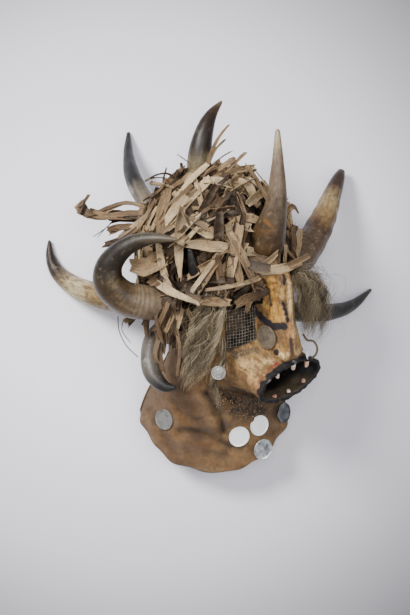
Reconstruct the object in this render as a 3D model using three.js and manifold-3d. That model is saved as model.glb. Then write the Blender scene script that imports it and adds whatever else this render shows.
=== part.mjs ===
import * as THREE from 'three';
import { mergeVertices } from 'three/addons/utils/BufferGeometryUtils.js';
import Module from 'manifold-3d';

const wasm = await Module();
wasm.setup();

// Sizes are millimetres. The mask lies on its back on the floor: +Z is up, +Y runs from the
// neck to the crown. The head has a frame of its own, with x to the mask's left, -y forward
// and z towards the crown.

// Clearance between pieces that touch.
const GAP = 0.3;

// Pose of the head.
const HEAD_CENTRE = new THREE.Vector3(22, 95, 165);
const CROWN_RAISE = 18;
const CROWN_LEAN = 3;
const FACE_TURN = 45;

// Padded cap.
const CAP_HALF_WIDTH = 120;
const CAP_HALF_LENGTH = 135;
const CAP_HEIGHT = 140;
const CAP_SKIRT = 120;
const CAP_SKIRT_TAPER = 0.08;
const CAP_WALL = 7;
const CAP_SIDES = 22;
const CAP_DOME_RINGS = 5;

// Wooden face.
const FACE_BACK = 40;
const FACE_BROW = 34;
const FACE_WALL = 9;
const NOSE_REACH = 200;
const NOSE_HALF = 15;
const NOSE_ROOT_HALF = 24;
const NOSE_ROOT_REACH = 124;
const NOSE_TIP_LEVEL = -156;
const NOSE_TIP_SWELL = 9;
const NOSE_WING = 15;
const CHEEK_HALF = 84;
const CHEEK_REACH = 100;
const TEMPLE_HALF = 101;
const TEMPLE_REACH = 72;
const EYE_TOP = -33;
const EYE_HEIGHT = 112;
const EYE_FRAME = 5;
const EYE_HOLE_DEPTH = 80;
const EYE_HOLE_OUT = 30;
const FACE_CHIN = 27;
const JAW_TAPER = 0.2;
const JAW_HEIGHT = 45;
const NOSTRIL_RADIUS = 7;
const NOSTRIL_SPREAD = 31;

// Muzzle, a tube that slopes forward and down and flares at the lips.
const MUZZLE_HALF = 93;
const MUZZLE_RISE = 43;
const MUZZLE_REACH = 191;
const MUZZLE_LEVEL = -216;
const MUZZLE_LEAN = 0.26;
const MUZZLE_SIDES = 16;
const MUZZLE_ROOT_REACH = 60;
const MUZZLE_ROOT_LEVEL = -176;
const MUZZLE_ROOT_HALF = 86;
const MUZZLE_ROOT_RISE = 76;
const MUZZLE_WAIST_HALF = 80;
const MUZZLE_WAIST_RISE = 60;
const MUZZLE_NECK_RISE = 46;
const LIP_FLARE = 8;
const HOLLOW_OVERRUN = 30;

// Wire mesh over the eye openings.
const WIRE = 1.6;
const WIRE_PITCH = 18;

// Pegged teeth.
const TOOTH_LENGTH = 26;
const TOOTH_RADIUS = 4.5;
const TOOTH_ROOT = 5;
const TOOTH_SIDES = 7;

// Cloth hood.
const HOOD_CENTRE_X = 17;
const HOOD_NECK_X = 30;
const HOOD_NECK_HALF = 90;
const HOOD_HALF = 156;
const HOOD_NECK_Y = 15;
const HOOD_HEM_Y = -214;
const HOOD_HEM_DROP = 126;
const HOOD_NECK_HEIGHT = 232;
const HOOD_HEM_HEIGHT = 84;
const HOOD_SWELL = 14;
const HOOD_SAG = 0.8;
const HOOD_SQUARING_ACROSS = 0.85;
const HOOD_SQUARING_UP = 0.9;
const HOOD_HEM_POWER = 2.3;
const HOOD_HEM_ROUNDING = 0.62;
const HOOD_FOLD = 7;
const HOOD_FOLDS = 3;
const HOOD_FOLD_SLANT = 5;
const HOOD_WALL = 4;
const HOOD_SIDES = 24;
const HOOD_ROWS = 7;

// Round mirrors and discs.
const NOSE_DISC_RADIUS = 24;
const MIRROR_RADIUS = 21.5;
const DISC_THICKNESS = 3;
const DISC_SIDES = 14;
const GLASS_RADIUS = 14;
const GLASS_THICKNESS = 4;
const LIP_MIRROR_RADIUS = 10;
const LIP_MIRROR_THICKNESS = 2;

// The discs of the face lie over these places of the head: left, forward and up.
const NOSE_DISC_BACK = 43.5;
const NOSE_DISC_RISE = 32.5;
const NOSE_DISC = [-25, NOSE_REACH - NOSE_DISC_BACK, NOSE_TIP_LEVEL + NOSE_DISC_RISE];
const LIP_MIRROR_BACK = 10;
const LIP_MIRROR_DROP = 16.6;
const LIP_MIRROR = [36.4, NOSE_REACH - LIP_MIRROR_BACK, NOSE_TIP_LEVEL - LIP_MIRROR_DROP];
// The glass disc hangs this far down its lock.
const GLASS_SHARE = 0.94;
// Each mirror of the hood: degrees round it, share of the way to its hem, colour and roughness.
const MIRRORS = {
  mirror_right: [135.5, 0.794, 0xb9bcc0, 0.15],
  mirror_middle: [73, 0.8, 0xe2e4e8, 0.1],
  mirror_upper: [53, 0.794, 0xe2e4e8, 0.1],
  mirror_hem: [54.5, 0.932, 0xa4a7ab, 0.15],
  mirror_dark: [27, 0.842, 0x4b4e52, 0.3],
};

// Mantle of leaf strips.
const MANTLE_DEPTH = 20;
const MANTLE_LUMP = 5;
const MANTLE_HEM = -58;
const MANTLE_SIDES = 16;
const MANTLE_LEVELS = [84, 60, 36, 14];
const STRIP_COUNT = 40;
const STRIP_WIDTH = 22;
const STRIP_THICKNESS = 3.2;
const STRIP_END = 0.62;
const STRIP_STEPS = 2;
const SPRAY_STEPS = 4;
const STRIP_RUN = 0.62;
const STRIP_KICK = 12;
const STRIP_LOWEST = -0.12;
const STRIP_HIGHEST = 0.96;
const STRIP_SEED = 11;

// Horns.
const HORN_SIDES = 8;
const HORN_STEPS = 10;
const HORN_TOP_STEPS = 6;
const HORN_FLATNESS = 0.93;
const RING_DEPTH = 1.3;
const RINGED_SHARE = 0.6;
// Stations of a horn stand this far apart in the curve of its girth.
const GIRTH_SPACING = 10;

// Locks of hair.
const LOCK_STEPS = 6;
const LOCK_SIDES = 7;
const LOCK_FLATNESS = 0.6;
const LOCK_SLIMNESS = 0.35;
const LOCK_TIP = 0.93;

// Height that the discs' seats are looked for from, clear of the whole mask.
const RAY_START = 1000;

// Each horn runs from its root through the stations of its route: x, y, z and radius.
const HORNS = {
  horn_crown: {
    route: [[-10, 221, 178, 27], [-12, 284, 188, 26], [-4, 341, 195, 21.5], [12, 383, 193, 13],
      [34, 412, 188, 2.5]],
    colour: 0x3a2f28,
  },
  horn_rear: {
    route: [[-100, 180, 150, 20], [-146, 262, 96, 19], [-160, 319, 46, 12], [-162, 371, 8, 4]],
    rests: true,
    colour: 0x4a4744,
  },
  horn_far_right: {
    route: [[-70, 10, 140, 32], [-150, 16, 108, 32], [-215, 24, 76, 29], [-268, 42, 44, 24],
      [-310, 74, 22, 17], [-326, 107, 14, 11], [-329, 143, 12, 3]],
    rests: true,
    colour: 0xb59f73,
  },
  horn_great: {
    route: [[-50, 18, 186, 36], [-114, 10, 224, 37], [-160, 20, 242, 36], [-188, 52, 258, 32],
      [-184, 84, 271, 26.5], [-160, 111, 288, 20.5], [-129, 127, 304, 15.5], [-92, 132, 322, 10.5],
      [-50, 128, 340, 2.5]],
    colour: 0x55514b,
  },
  horn_brow: {
    route: [[85, 90, 222, 37], [112, 113, 264, 40], [127, 156, 298, 32], [136, 200, 322, 22],
      [138, 270, 340, 13], [137, 338, 347, 4.5]],
    rings: 4,
    colour: 0x8a7a66,
  },
  horn_ringed: {
    route: [[150, 60, 175, 34], [205, 116, 124, 34], [244, 182, 82, 28.5], [267, 239, 48, 20],
      [281, 272, 28, 14], [288, 288, 18, 8]],
    rings: 7,
    colour: 0x9a8566,
  },
  horn_low_left: {
    route: [[120, -8, 150, 22], [215, -9, 112, 21], [262, -9, 83, 18], [308, 5, 46, 12.5],
      [353, 39, 6, 3]],
    rests: true,
    colour: 0x4d4a47,
  },
  horn_jaw: {
    route: [[-66, -28, 150, 19], [-103, -62, 166, 19.5], [-110, -104, 183, 20],
      [-102, -136, 197, 18], [-80, -156, 208, 12.5], [-57, -159, 214, 4]],
    colour: 0x6a6762,
  },
  horn_temple: {
    route: [[-2, 22, 236, 15], [-19, 68, 298, 13.5], [-29, 112, 328, 4.5]],
    colour: 0x221f1d,
  },
};

const UP = new THREE.Vector3(0, 0, 1);

function blend(from, to, share) {
  return from + (to - from) * share;
}

function smooth(value, from, to) {
  const share = Math.min(1, Math.max(0, (value - from) / (to - from)));
  return share * share * (3 - 2 * share);
}

// Repeatable random numbers from 0 to 1.
function randomFrom(seed) {
  let state = seed;
  return () => {
    state = (Math.imul(state, 1664525) + 1013904223) >>> 0;
    return state / 4294967296;
  };
}

// A closed mesh as a solid, for cuts and joins. A mesh that came from a cut is welded already.
function solidOf(geometry) {
  const bare = geometry.clone();
  bare.deleteAttribute('normal');
  bare.deleteAttribute('uv');
  const merged = geometry.userData.welded ? bare : mergeVertices(bare, 1e-4);
  return new wasm.Manifold(new wasm.Mesh({
    numProp: 3,
    vertProperties: Float32Array.from(merged.attributes.position.array),
    triVerts: Uint32Array.from(merged.index.array),
  }));
}

function geometryOf(solid) {
  const mesh = solid.getMesh();
  const geometry = new THREE.BufferGeometry();
  geometry.setAttribute('position', new THREE.BufferAttribute(mesh.vertProperties, 3));
  geometry.setIndex(new THREE.BufferAttribute(mesh.triVerts, 1));
  geometry.computeVertexNormals();
  geometry.userData.welded = true;
  return geometry;
}

// The largest of the separate bodies that a cut leaves.
function mainBody(solid) {
  return solid.decompose().reduce((most, body) => (body.volume() > most.volume() ? body : most));
}

function cut(solid, tools) {
  return mainBody(tools.reduce((rest, tool) => rest.subtract(tool), solid));
}

function signedVolume(points, faces) {
  return faces.reduce((sum, [a, b, c]) => {
    const normal = points[b].clone().cross(points[c]);
    return sum + points[a].dot(normal) / 6;
  }, 0);
}

function meshFrom(points, faces) {
  const outward = signedVolume(points, faces) > 0;
  const geometry = new THREE.BufferGeometry().setFromPoints(points);
  geometry.setIndex(faces.flatMap(([a, b, c]) => (outward ? [a, b, c] : [a, c, b])));
  return geometry;
}

// A closed solid through rings of corners, closed at both ends by a fan round the middle.
function loft(rings) {
  const sides = rings[0].length;
  const last = (rings.length - 1) * sides;
  const middle = (ring) => ring.reduce((sum, point) => sum.add(point), new THREE.Vector3())
    .divideScalar(sides);
  const points = [...rings.flat(), middle(rings[0]), middle(rings.at(-1))];
  const faces = [];
  for (let i = 0; i < sides; i += 1) {
    const j = (i + 1) % sides;
    for (let row = 0; row < last; row += sides) {
      faces.push([row + i, row + j, row + j + sides], [row + i, row + j + sides, row + i + sides]);
    }
    faces.push([points.length - 2, j, i], [points.length - 1, last + i, last + j]);
  }
  return meshFrom(points, faces);
}

// An open-ended sleeve with walls: outer and inner rings joined at both ends.
function sleeve(outer, inner) {
  const sides = outer[0].length;
  const rows = [...outer, ...inner.slice().reverse()];
  const faces = [];
  for (let row = 0; row < rows.length; row += 1) {
    const next = (row + 1) % rows.length;
    for (let i = 0; i < sides; i += 1) {
      const j = (i + 1) % sides;
      const [a, b] = [row * sides + i, row * sides + j];
      const [c, d] = [next * sides + j, next * sides + i];
      faces.push([a, b, c], [a, c, d]);
    }
  }
  return meshFrom(rows.flat(), faces);
}

// Square axes carried along a curve without twist: one pair for each share of its length.
function carriedAxes(curve, shares, first) {
  let side = first.clone();
  return shares.map((share) => {
    const ahead = curve.getTangent(share);
    side = side.clone().addScaledVector(ahead, -side.dot(ahead)).normalize();
    return { side, up: ahead.clone().cross(side) };
  });
}

// A bar along a curve. section(share) gives its corners as [across, up] pairs.
function sweep(curve, shares, section, first = UP) {
  const axes = carriedAxes(curve, shares, first);
  const rings = shares.map((share, i) => {
    const centre = curve.getPoint(share);
    return section(share).map(([across, up]) => centre.clone()
      .addScaledVector(axes[i].side, across).addScaledVector(axes[i].up, up));
  });
  return loft(rings);
}

function splineThrough(points) {
  return new THREE.CatmullRomCurve3(points, false, 'centripetal');
}

function evenShares(count) {
  return Array.from({ length: count + 1 }, (_, i) => i / count);
}

function roundSection(sides, radius, flat = 1) {
  return Array.from({ length: sides }, (_, i) => {
    const angle = (2 * Math.PI * i) / sides;
    return [radius * Math.cos(angle), radius * flat * Math.sin(angle)];
  });
}

// The head's own frame.
function headPose() {
  const raise = THREE.MathUtils.degToRad(CROWN_RAISE);
  const lean = THREE.MathUtils.degToRad(CROWN_LEAN);
  const turn = THREE.MathUtils.degToRad(FACE_TURN);
  const crown = new THREE.Vector3(
    -Math.sin(lean) * Math.cos(raise),
    Math.cos(lean) * Math.cos(raise),
    Math.sin(raise),
  );
  const straight = UP.clone().addScaledVector(crown, -UP.dot(crown)).normalize();
  const sideways = crown.clone().cross(straight);
  const forward = straight.multiplyScalar(Math.cos(turn)).addScaledVector(sideways, Math.sin(turn));
  const left = crown.clone().cross(forward);
  return new THREE.Matrix4().makeBasis(left, forward.clone().negate(), crown)
    .setPosition(HEAD_CENTRE);
}

const HEAD = headPose();

function inHead(geometry) {
  return geometry.clone().applyMatrix4(HEAD);
}

function headPoint(left, forward, up) {
  return new THREE.Vector3(left, -forward, up).applyMatrix4(HEAD);
}

// The cap's outline at a level: its share of the full width and length.
function capShare(level) {
  if (level > 0) {
    return Math.sqrt(Math.max(0, 1 - (level / CAP_HEIGHT) ** 2));
  }
  return 1 - CAP_SKIRT_TAPER * (level / CAP_SKIRT) ** 2;
}

function ovalRing(halfWidth, halfLength, level, sides) {
  return roundSection(sides, 1)
    .map(([x, y]) => new THREE.Vector3(x * halfWidth, y * halfLength, level));
}

// The cap's filled form, swollen by a margin.
function capForm(margin, bottom) {
  const rings = [];
  for (let i = 0; i < CAP_DOME_RINGS; i += 1) {
    const angle = THREE.MathUtils.degToRad(84) * (1 - i / CAP_DOME_RINGS);
    rings.push([Math.sin(angle) * (CAP_HEIGHT + margin), Math.cos(angle)]);
  }
  rings.push([0, 1], [-CAP_SKIRT / 2, capShare(-CAP_SKIRT / 2)], [bottom, capShare(bottom)]);
  return loft(rings.map(([level, share]) => ovalRing(
    share * (CAP_HALF_WIDTH + margin),
    share * (CAP_HALF_LENGTH + margin),
    level,
    CAP_SIDES,
  )));
}

// The space in front of the cap that the wooden face takes.
function faceRoom(margin) {
  const reach = 400;
  const box = new THREE.BoxGeometry(2 * reach, reach, reach);
  box.translate(0, -FACE_BACK - margin - reach / 2, FACE_BROW - margin - reach / 2);
  return solidOf(box);
}

function capEnvelope(margin) {
  return solidOf(capForm(margin, -CAP_SKIRT - margin)).subtract(faceRoom(margin));
}

function makeCap() {
  const outer = solidOf(capForm(0, -CAP_SKIRT));
  const inner = solidOf(capForm(-CAP_WALL, -CAP_SKIRT - CAP_WALL));
  return cut(outer, [inner, faceRoom(0)]);
}

// Half outlines of the face, from the middle line to the temple, as [left, forward] pairs.
const NOSE_EDGE = [NOSE_HALF, NOSE_REACH - 7];
const BROW_OUTLINE = [[0, NOSE_REACH - 3], NOSE_EDGE, [40, 166], [64, 141], [85, 112],
  [TEMPLE_HALF, TEMPLE_REACH]];
const EYE_MIDDLE = [
  (NOSE_ROOT_HALF + CHEEK_HALF) / 2,
  (NOSE_ROOT_REACH + CHEEK_REACH) / 2,
];
const EYE_OUTLINE = [[0, NOSE_REACH], NOSE_EDGE, [NOSE_ROOT_HALF, NOSE_ROOT_REACH], EYE_MIDDLE,
  [CHEEK_HALF, CHEEK_REACH], [TEMPLE_HALF, TEMPLE_REACH]];
const EYE_BOTTOM = EYE_TOP - EYE_HEIGHT;
const FACE_FOOT = EYE_BOTTOM - FACE_CHIN;

function faceBackHalf(level) {
  const capHalf = capShare(level) * Math.sqrt(1 - (FACE_BACK / CAP_HALF_LENGTH) ** 2)
    * CAP_HALF_WIDTH;
  return capHalf * (1 - JAW_TAPER * smooth(level, EYE_BOTTOM + JAW_HEIGHT, FACE_FOOT));
}

function faceOutline(level, margin) {
  const eye = smooth(level, EYE_TOP + 36, EYE_TOP + 4);
  const foot = 1 - 0.28 * smooth(level, EYE_BOTTOM + 2, FACE_FOOT);
  const brow = 1 - 0.46 * smooth(level, -6, FACE_BROW + 6);
  const tip = Math.exp(-(((level - NOSE_TIP_LEVEL) / 20) ** 2));
  const half = BROW_OUTLINE.map(([left, forward], i) => {
    const nose = i < 2;
    const x = blend(left, EYE_OUTLINE[i][0], eye) * (nose ? 1 : foot) + (i === 1 ? NOSE_WING * tip : 0);
    const y = blend(forward, EYE_OUTLINE[i][1], eye) + (nose ? NOSE_TIP_SWELL * tip : 0);
    const reach = FACE_BACK + (y - FACE_BACK) * brow * (nose ? 1 : foot);
    return [x + (i > 0 ? margin : 0), reach + margin];
  });
  half.push([faceBackHalf(level) + margin, FACE_BACK]);
  const left = half.map(([x, y]) => new THREE.Vector3(x, -y, level));
  const right = half.slice(1).reverse().map(([x, y]) => new THREE.Vector3(-x, -y, level));
  return [...right, ...left];
}

function upperFace(margin) {
  const levels = [FACE_BROW + 6 + margin, 20, 4, -14, EYE_TOP + 3, -88, EYE_BOTTOM, NOSE_TIP_LEVEL,
    FACE_FOOT - margin];
  return loft(levels.map((level) => faceOutline(level, margin)));
}

// A section of the muzzle's tube, a share of the way from its root to its lips.
function muzzleSection(share, half, rise) {
  return {
    reach: blend(MUZZLE_ROOT_REACH, MUZZLE_REACH, share),
    level: blend(MUZZLE_ROOT_LEVEL, MUZZLE_LEVEL, share),
    half,
    rise,
    lean: MUZZLE_LEAN * share,
  };
}

// The muzzle's tube from the face to the lips, swollen by a margin.
function muzzleTube(margin) {
  const flare = 1 - LIP_FLARE / (MUZZLE_REACH - MUZZLE_ROOT_REACH);
  const sections = [
    muzzleSection(0, MUZZLE_ROOT_HALF, MUZZLE_ROOT_RISE),
    muzzleSection(0.44, MUZZLE_WAIST_HALF, MUZZLE_WAIST_RISE),
    muzzleSection(0.76, MUZZLE_WAIST_HALF, MUZZLE_NECK_RISE),
    muzzleSection(flare, MUZZLE_HALF - 3, MUZZLE_RISE - 1),
    muzzleSection(1, MUZZLE_HALF, MUZZLE_RISE),
  ];
  // The hollow runs out through both ends.
  const overrun = margin < 0 ? HOLLOW_OVERRUN : margin;
  sections[0].reach -= overrun;
  sections.at(-1).reach += overrun;
  return loft(sections.map(({ reach, level, half, rise, lean }) => (
    roundSection(MUZZLE_SIDES, 1).map(([c, s]) => {
      const height = (rise + margin) * s;
      return new THREE.Vector3((half + margin) * c, -(reach + lean * height), level + height);
    }))));
}

function faceForm(margin) {
  return solidOf(upperFace(margin)).add(solidOf(muzzleTube(margin)));
}

// The hollow behind the face: a plain half oval at each level.
function faceHollow() {
  const levels = [[FACE_BROW + 20, 0.8, 62], [14, 1, 88], [-40, 1, 91], [EYE_BOTTOM, 1, 91],
    [FACE_FOOT - 20, 0.9, 84]];
  const steps = 8;
  return loft(levels.map(([level, share, reach]) => {
    const half = (faceBackHalf(level) - FACE_WALL) * share;
    const ring = [];
    for (let i = 0; i <= steps; i += 1) {
      const angle = (Math.PI * i) / steps;
      const bow = Math.sin(angle) ** 0.6;
      const x = half * Math.sign(Math.cos(angle)) * Math.abs(Math.cos(angle)) ** 0.7;
      ring.push(new THREE.Vector3(x, -(FACE_BACK + (reach - FACE_BACK) * bow), level));
    }
    ring.push(new THREE.Vector3(-half, -FACE_BACK + 20, level));
    ring.push(new THREE.Vector3(half, -FACE_BACK + 20, level));
    return ring;
  }));
}

// The slope of one eye's panel, which runs from the root of the nose to the cheek.
function eyePanel(side) {
  const [x, y] = [side * EYE_MIDDLE[0], -EYE_MIDDLE[1]];
  const width = Math.hypot(CHEEK_HALF - NOSE_ROOT_HALF, NOSE_ROOT_REACH - CHEEK_REACH);
  const turn = side * Math.atan2(NOSE_ROOT_REACH - CHEEK_REACH, CHEEK_HALF - NOSE_ROOT_HALF);
  return { centre: new THREE.Vector3(x, y, EYE_TOP - EYE_HEIGHT / 2), width, turn };
}

function onEyePanel(geometry, side, lift) {
  const { centre, turn } = eyePanel(side);
  geometry.translate(0, -lift, 0);
  geometry.rotateZ(turn);
  geometry.translate(centre.x, centre.y, centre.z);
  return geometry;
}

function eyeHole(side) {
  const { width } = eyePanel(side);
  const frame = 2 * EYE_FRAME;
  const hole = new THREE.BoxGeometry(width - frame, EYE_HOLE_DEPTH, EYE_HEIGHT - frame);
  return solidOf(onEyePanel(hole, side, EYE_HOLE_OUT - EYE_HOLE_DEPTH / 2)).subtract(solidOf(muzzleTube(0)));
}

function nostril(side) {
  const pit = new THREE.SphereGeometry(NOSTRIL_RADIUS, 7, 5);
  pit.translate(side * NOSTRIL_SPREAD, -NOSE_REACH + 4, NOSE_TIP_LEVEL + 8);
  return solidOf(pit);
}

// The teeth stand in the lips, at these angles round the mouth.
const TEETH = [118, 84, 52, 248, 278, 312];

function toothForm(angle, margin) {
  const turn = THREE.MathUtils.degToRad(angle);
  const [across, up] = [Math.cos(turn), Math.sin(turn)];
  const height = (MUZZLE_RISE - FACE_WALL) * up;
  const inward = new THREE.Vector3(-across * 0.35, 0, -Math.sign(up)).normalize();
  const lip = new THREE.Vector3(
    across * (MUZZLE_HALF - FACE_WALL),
    -(MUZZLE_REACH - 10 + MUZZLE_LEAN * height),
    MUZZLE_LEVEL + height,
  );
  const root = lip.clone().addScaledVector(inward, -TOOTH_ROOT - margin);
  const tip = root.clone().addScaledVector(inward, TOOTH_LENGTH + margin);
  const stem = new THREE.LineCurve3(root, tip);
  const radius = (share) => TOOTH_RADIUS * (1 - 0.45 * share ** 2) + margin;
  return sweep(stem, [0, 0.6, 1], (share) => roundSection(TOOTH_SIDES, radius(share)),
    new THREE.Vector3(0, 1, 0));
}

function makeFace() {
  const sides = [-1, 1];
  const tools = [
    solidOf(faceHollow()),
    solidOf(muzzleTube(-FACE_WALL)),
    capEnvelope(GAP),
    ...sides.map(eyeHole),
    ...sides.map(nostril),
    ...TEETH.map((angle) => solidOf(toothForm(angle, GAP))),
  ];
  return cut(faceForm(0), tools);
}

// A square grid of wires, as one plate pierced between the wires.
function wirePanel(width, height) {
  const openings = (length) => {
    const count = Math.round((length - WIRE) / WIRE_PITCH);
    const pitch = (length - WIRE) / count;
    const places = Array.from({ length: count }, (_, i) => (i + 0.5) * pitch - (length - WIRE) / 2);
    return { places, size: pitch - WIRE };
  };
  const [across, upward] = [openings(width), openings(height)];
  let panel = solidOf(new THREE.BoxGeometry(width, WIRE, height));
  across.places.forEach((x) => upward.places.forEach((z) => {
    const hole = new THREE.BoxGeometry(across.size, 3 * WIRE, upward.size);
    panel = panel.subtract(solidOf(hole.translate(x, 0, z)));
  }));
  return geometryOf(panel).translate(0, -WIRE / 2, 0);
}

function makeEyeMesh(side) {
  const { width } = eyePanel(side);
  const panel = onEyePanel(wirePanel(width - 4, EYE_HEIGHT - 2), side, GAP);
  return geometryOf(cut(solidOf(panel), [solidOf(muzzleTube(GAP))]));
}

// The room that an eye mesh takes, as a plain slab.
function eyeCover(side) {
  const { width } = eyePanel(side);
  const slab = new THREE.BoxGeometry(width - 4 + 2 * GAP, WIRE + 2 * GAP, EYE_HEIGHT - 2 + 2 * GAP);
  return onEyePanel(slab, side, GAP + WIRE / 2);
}

// A cosine or sine squared off, so that a round section fills its box better.
function squaredOff(value, power) {
  return Math.sign(value) * Math.abs(value) ** power;
}

// A point of the hood: angle goes round from the +X side over the top, share from neck to hem.
function hoodPoint(angle, share, inset) {
  const spread = smooth(share, 0.2, 1.1);
  const half = blend(HOOD_NECK_HALF, HOOD_HALF, spread) - inset;
  const middle = blend(HOOD_NECK_X, HOOD_CENTRE_X, spread);
  const height = blend(HOOD_NECK_HEIGHT, HOOD_HEM_HEIGHT, share ** HOOD_SAG);
  const upward = Math.max(0, Math.sin(angle));
  const across = squaredOff(Math.cos(angle), HOOD_SQUARING_ACROSS);
  const over = squaredOff(Math.sin(angle), HOOD_SQUARING_UP);
  const fold = HOOD_FOLD * Math.sin(HOOD_FOLDS * angle + HOOD_FOLD_SLANT * share) * share * upward;
  const lift = upward > 0 ? -HOOD_SWELL : 0;
  const rise = height / 2 + (height / 2 + HOOD_SWELL - inset) * over + fold + lift;
  const round = (1 - Math.abs(across) ** HOOD_HEM_POWER) ** HOOD_HEM_ROUNDING;
  const hem = HOOD_HEM_Y - HOOD_HEM_DROP * round;
  return new THREE.Vector3(
    middle + half * across,
    blend(HOOD_NECK_Y, hem, share),
    Math.max(inset, rise),
  );
}

function hoodRings(inset) {
  return evenShares(HOOD_ROWS).map((share) => Array.from({ length: HOOD_SIDES }, (_, i) => (
    hoodPoint((2 * Math.PI * i) / HOOD_SIDES, share, inset))));
}

function makeHood(tools) {
  return cut(solidOf(sleeve(hoodRings(0), hoodRings(HOOD_WALL))), tools);
}

// A horn with growth rings on its lower half; one that rests touches the floor. A margin swells
// it, for the cuts of its neighbours.
function hornForm({ route, rings = 0, rests = false }, margin) {
  const curve = splineThrough(route.map(([x, y, z]) => new THREE.Vector3(x, y, z)));
  const girth = splineThrough(
    route.map(([, , , radius], i) => new THREE.Vector3(radius, i * GIRTH_SPACING, 0)),
  );
  const ringed = rings > 0 ? RINGED_SHARE : 0;
  const shares = [];
  for (let i = 0; i < 2 * rings; i += 1) {
    shares.push((ringed * i) / (2 * rings));
  }
  const plain = rings > 0 ? HORN_TOP_STEPS : HORN_STEPS;
  evenShares(plain).forEach((share) => shares.push(blend(ringed, 1, share)));
  const radius = (share) => {
    const crest = share < ringed
      ? RING_DEPTH * Math.cos((Math.PI * share * 2 * rings) / ringed) : 0;
    return girth.getPoint(share).x + crest;
  };
  const swollen = (extra) => sweep(curve, shares, (share) => (
    roundSection(HORN_SIDES, radius(share) + extra, HORN_FLATNESS)));
  const bare = swollen(0);
  bare.computeBoundingBox();
  const drop = rests ? bare.boundingBox.min.z : 0;
  return swollen(margin).translate(0, 0, -drop);
}

// Where a round disc rests on a surface straight under a place: its pose, clear of the surface.
function restOn(surface, { x, y }, radius) {
  const caster = new THREE.Raycaster();
  const down = UP.clone().negate();
  const corners = 24;
  const under = (px, py) => {
    caster.set(new THREE.Vector3(px, py, RAY_START), down);
    return caster.intersectObject(surface)[0]?.point;
  };
  const seat = under(x, y);
  // Past the surface's edge, the middle's height stands in.
  const circle = (share) => Array.from({ length: corners }, (_, i) => {
    const angle = (2 * Math.PI * i) / corners;
    const [px, py] = [x + share * radius * Math.cos(angle), y + share * radius * Math.sin(angle)];
    return under(px, py) ?? new THREE.Vector3(px, py, seat.z);
  });
  const ring = circle(0.6);
  const normal = new THREE.Vector3();
  ring.forEach((point, i) => {
    const [a, b] = [ring[(i + corners / 3) % corners], ring[(i + (2 * corners) / 3) % corners]];
    normal.add(a.clone().sub(point).cross(b.clone().sub(point)));
  });
  normal.normalize();
  const rim = [0.3, 0.6, 0.8, 1].flatMap(circle);
  const lift = Math.max(...rim.map((point) => point.clone().sub(seat).dot(normal)), 0);
  return { seat: seat.addScaledVector(normal, lift + GAP), normal };
}

// A flat disc that stands on z = 0.
function discForm(radius, thickness) {
  const profile = [[0, 0], [radius, 0], [radius, thickness], [0, thickness]]
    .map(([x, y]) => new THREE.Vector2(x, y));
  const disc = new THREE.LatheGeometry(profile, DISC_SIDES);
  return disc.rotateX(Math.PI / 2);
}

function discPose(disc, { seat, normal }) {
  const turn = new THREE.Quaternion().setFromUnitVectors(UP, normal);
  return disc.clone().applyQuaternion(turn).translate(seat.x, seat.y, seat.z);
}

// The room that a disc takes, with the clearance all round it.
function discTool(radius, pose) {
  const room = discForm(radius + GAP, DISC_THICKNESS + 2 * GAP).translate(0, 0, -GAP);
  return solidOf(discPose(room, pose));
}

// A point over the cap: angle from the front towards the left, and level up the dome.
function mantlePoint(angle, level, lift) {
  const dome = Math.sin(Math.min(Math.PI / 2, Math.max(0, level)));
  const share = Math.cos(Math.max(0, level));
  const skirt = Math.min(0, level) * CAP_HEIGHT;
  return new THREE.Vector3(
    Math.sin(angle) * share * (CAP_HALF_WIDTH + lift),
    -Math.cos(angle) * share * (CAP_HALF_LENGTH + lift),
    dome * (CAP_HEIGHT + lift) + skirt,
  );
}

// A place on the mask from degrees round the cap, degrees up its dome and height over it.
function overCap([turn, level, lift]) {
  return mantlePoint(
    THREE.MathUtils.degToRad(turn),
    THREE.MathUtils.degToRad(level),
    lift,
  ).applyMatrix4(HEAD);
}

// Uneven swell of the mantle, up to its lump either way.
function mantleLump(angle, level) {
  return (MANTLE_LUMP / 2) * (Math.sin(5 * angle + 2 * level) + Math.cos(3 * angle - 7 * level));
}

function mantleLayer() {
  const levels = [...MANTLE_LEVELS.map(THREE.MathUtils.degToRad), MANTLE_HEM / CAP_HEIGHT];
  return inHead(loft(levels.map((level) => Array.from({ length: MANTLE_SIDES }, (_, i) => {
    const angle = (2 * Math.PI * i) / MANTLE_SIDES;
    const lump = mantleLump(angle, level);
    return mantlePoint(angle, level, MANTLE_DEPTH + lump);
  }))));
}

// A leaf strip through a few points, lying flat against the outward direction.
function stripForm(points, width, outward, steps) {
  const fullness = (share) => Math.sin(Math.PI * Math.min(1, 0.1 + 1.2 * share));
  const section = (share) => {
    const half = (width / 2) * blend(STRIP_END, 1, fullness(share));
    const thin = STRIP_THICKNESS / 2;
    return [[-thin, -half], [thin, -half], [thin, half], [-thin, half]];
  };
  return sweep(splineThrough(points), evenShares(steps), section, outward);
}

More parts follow.
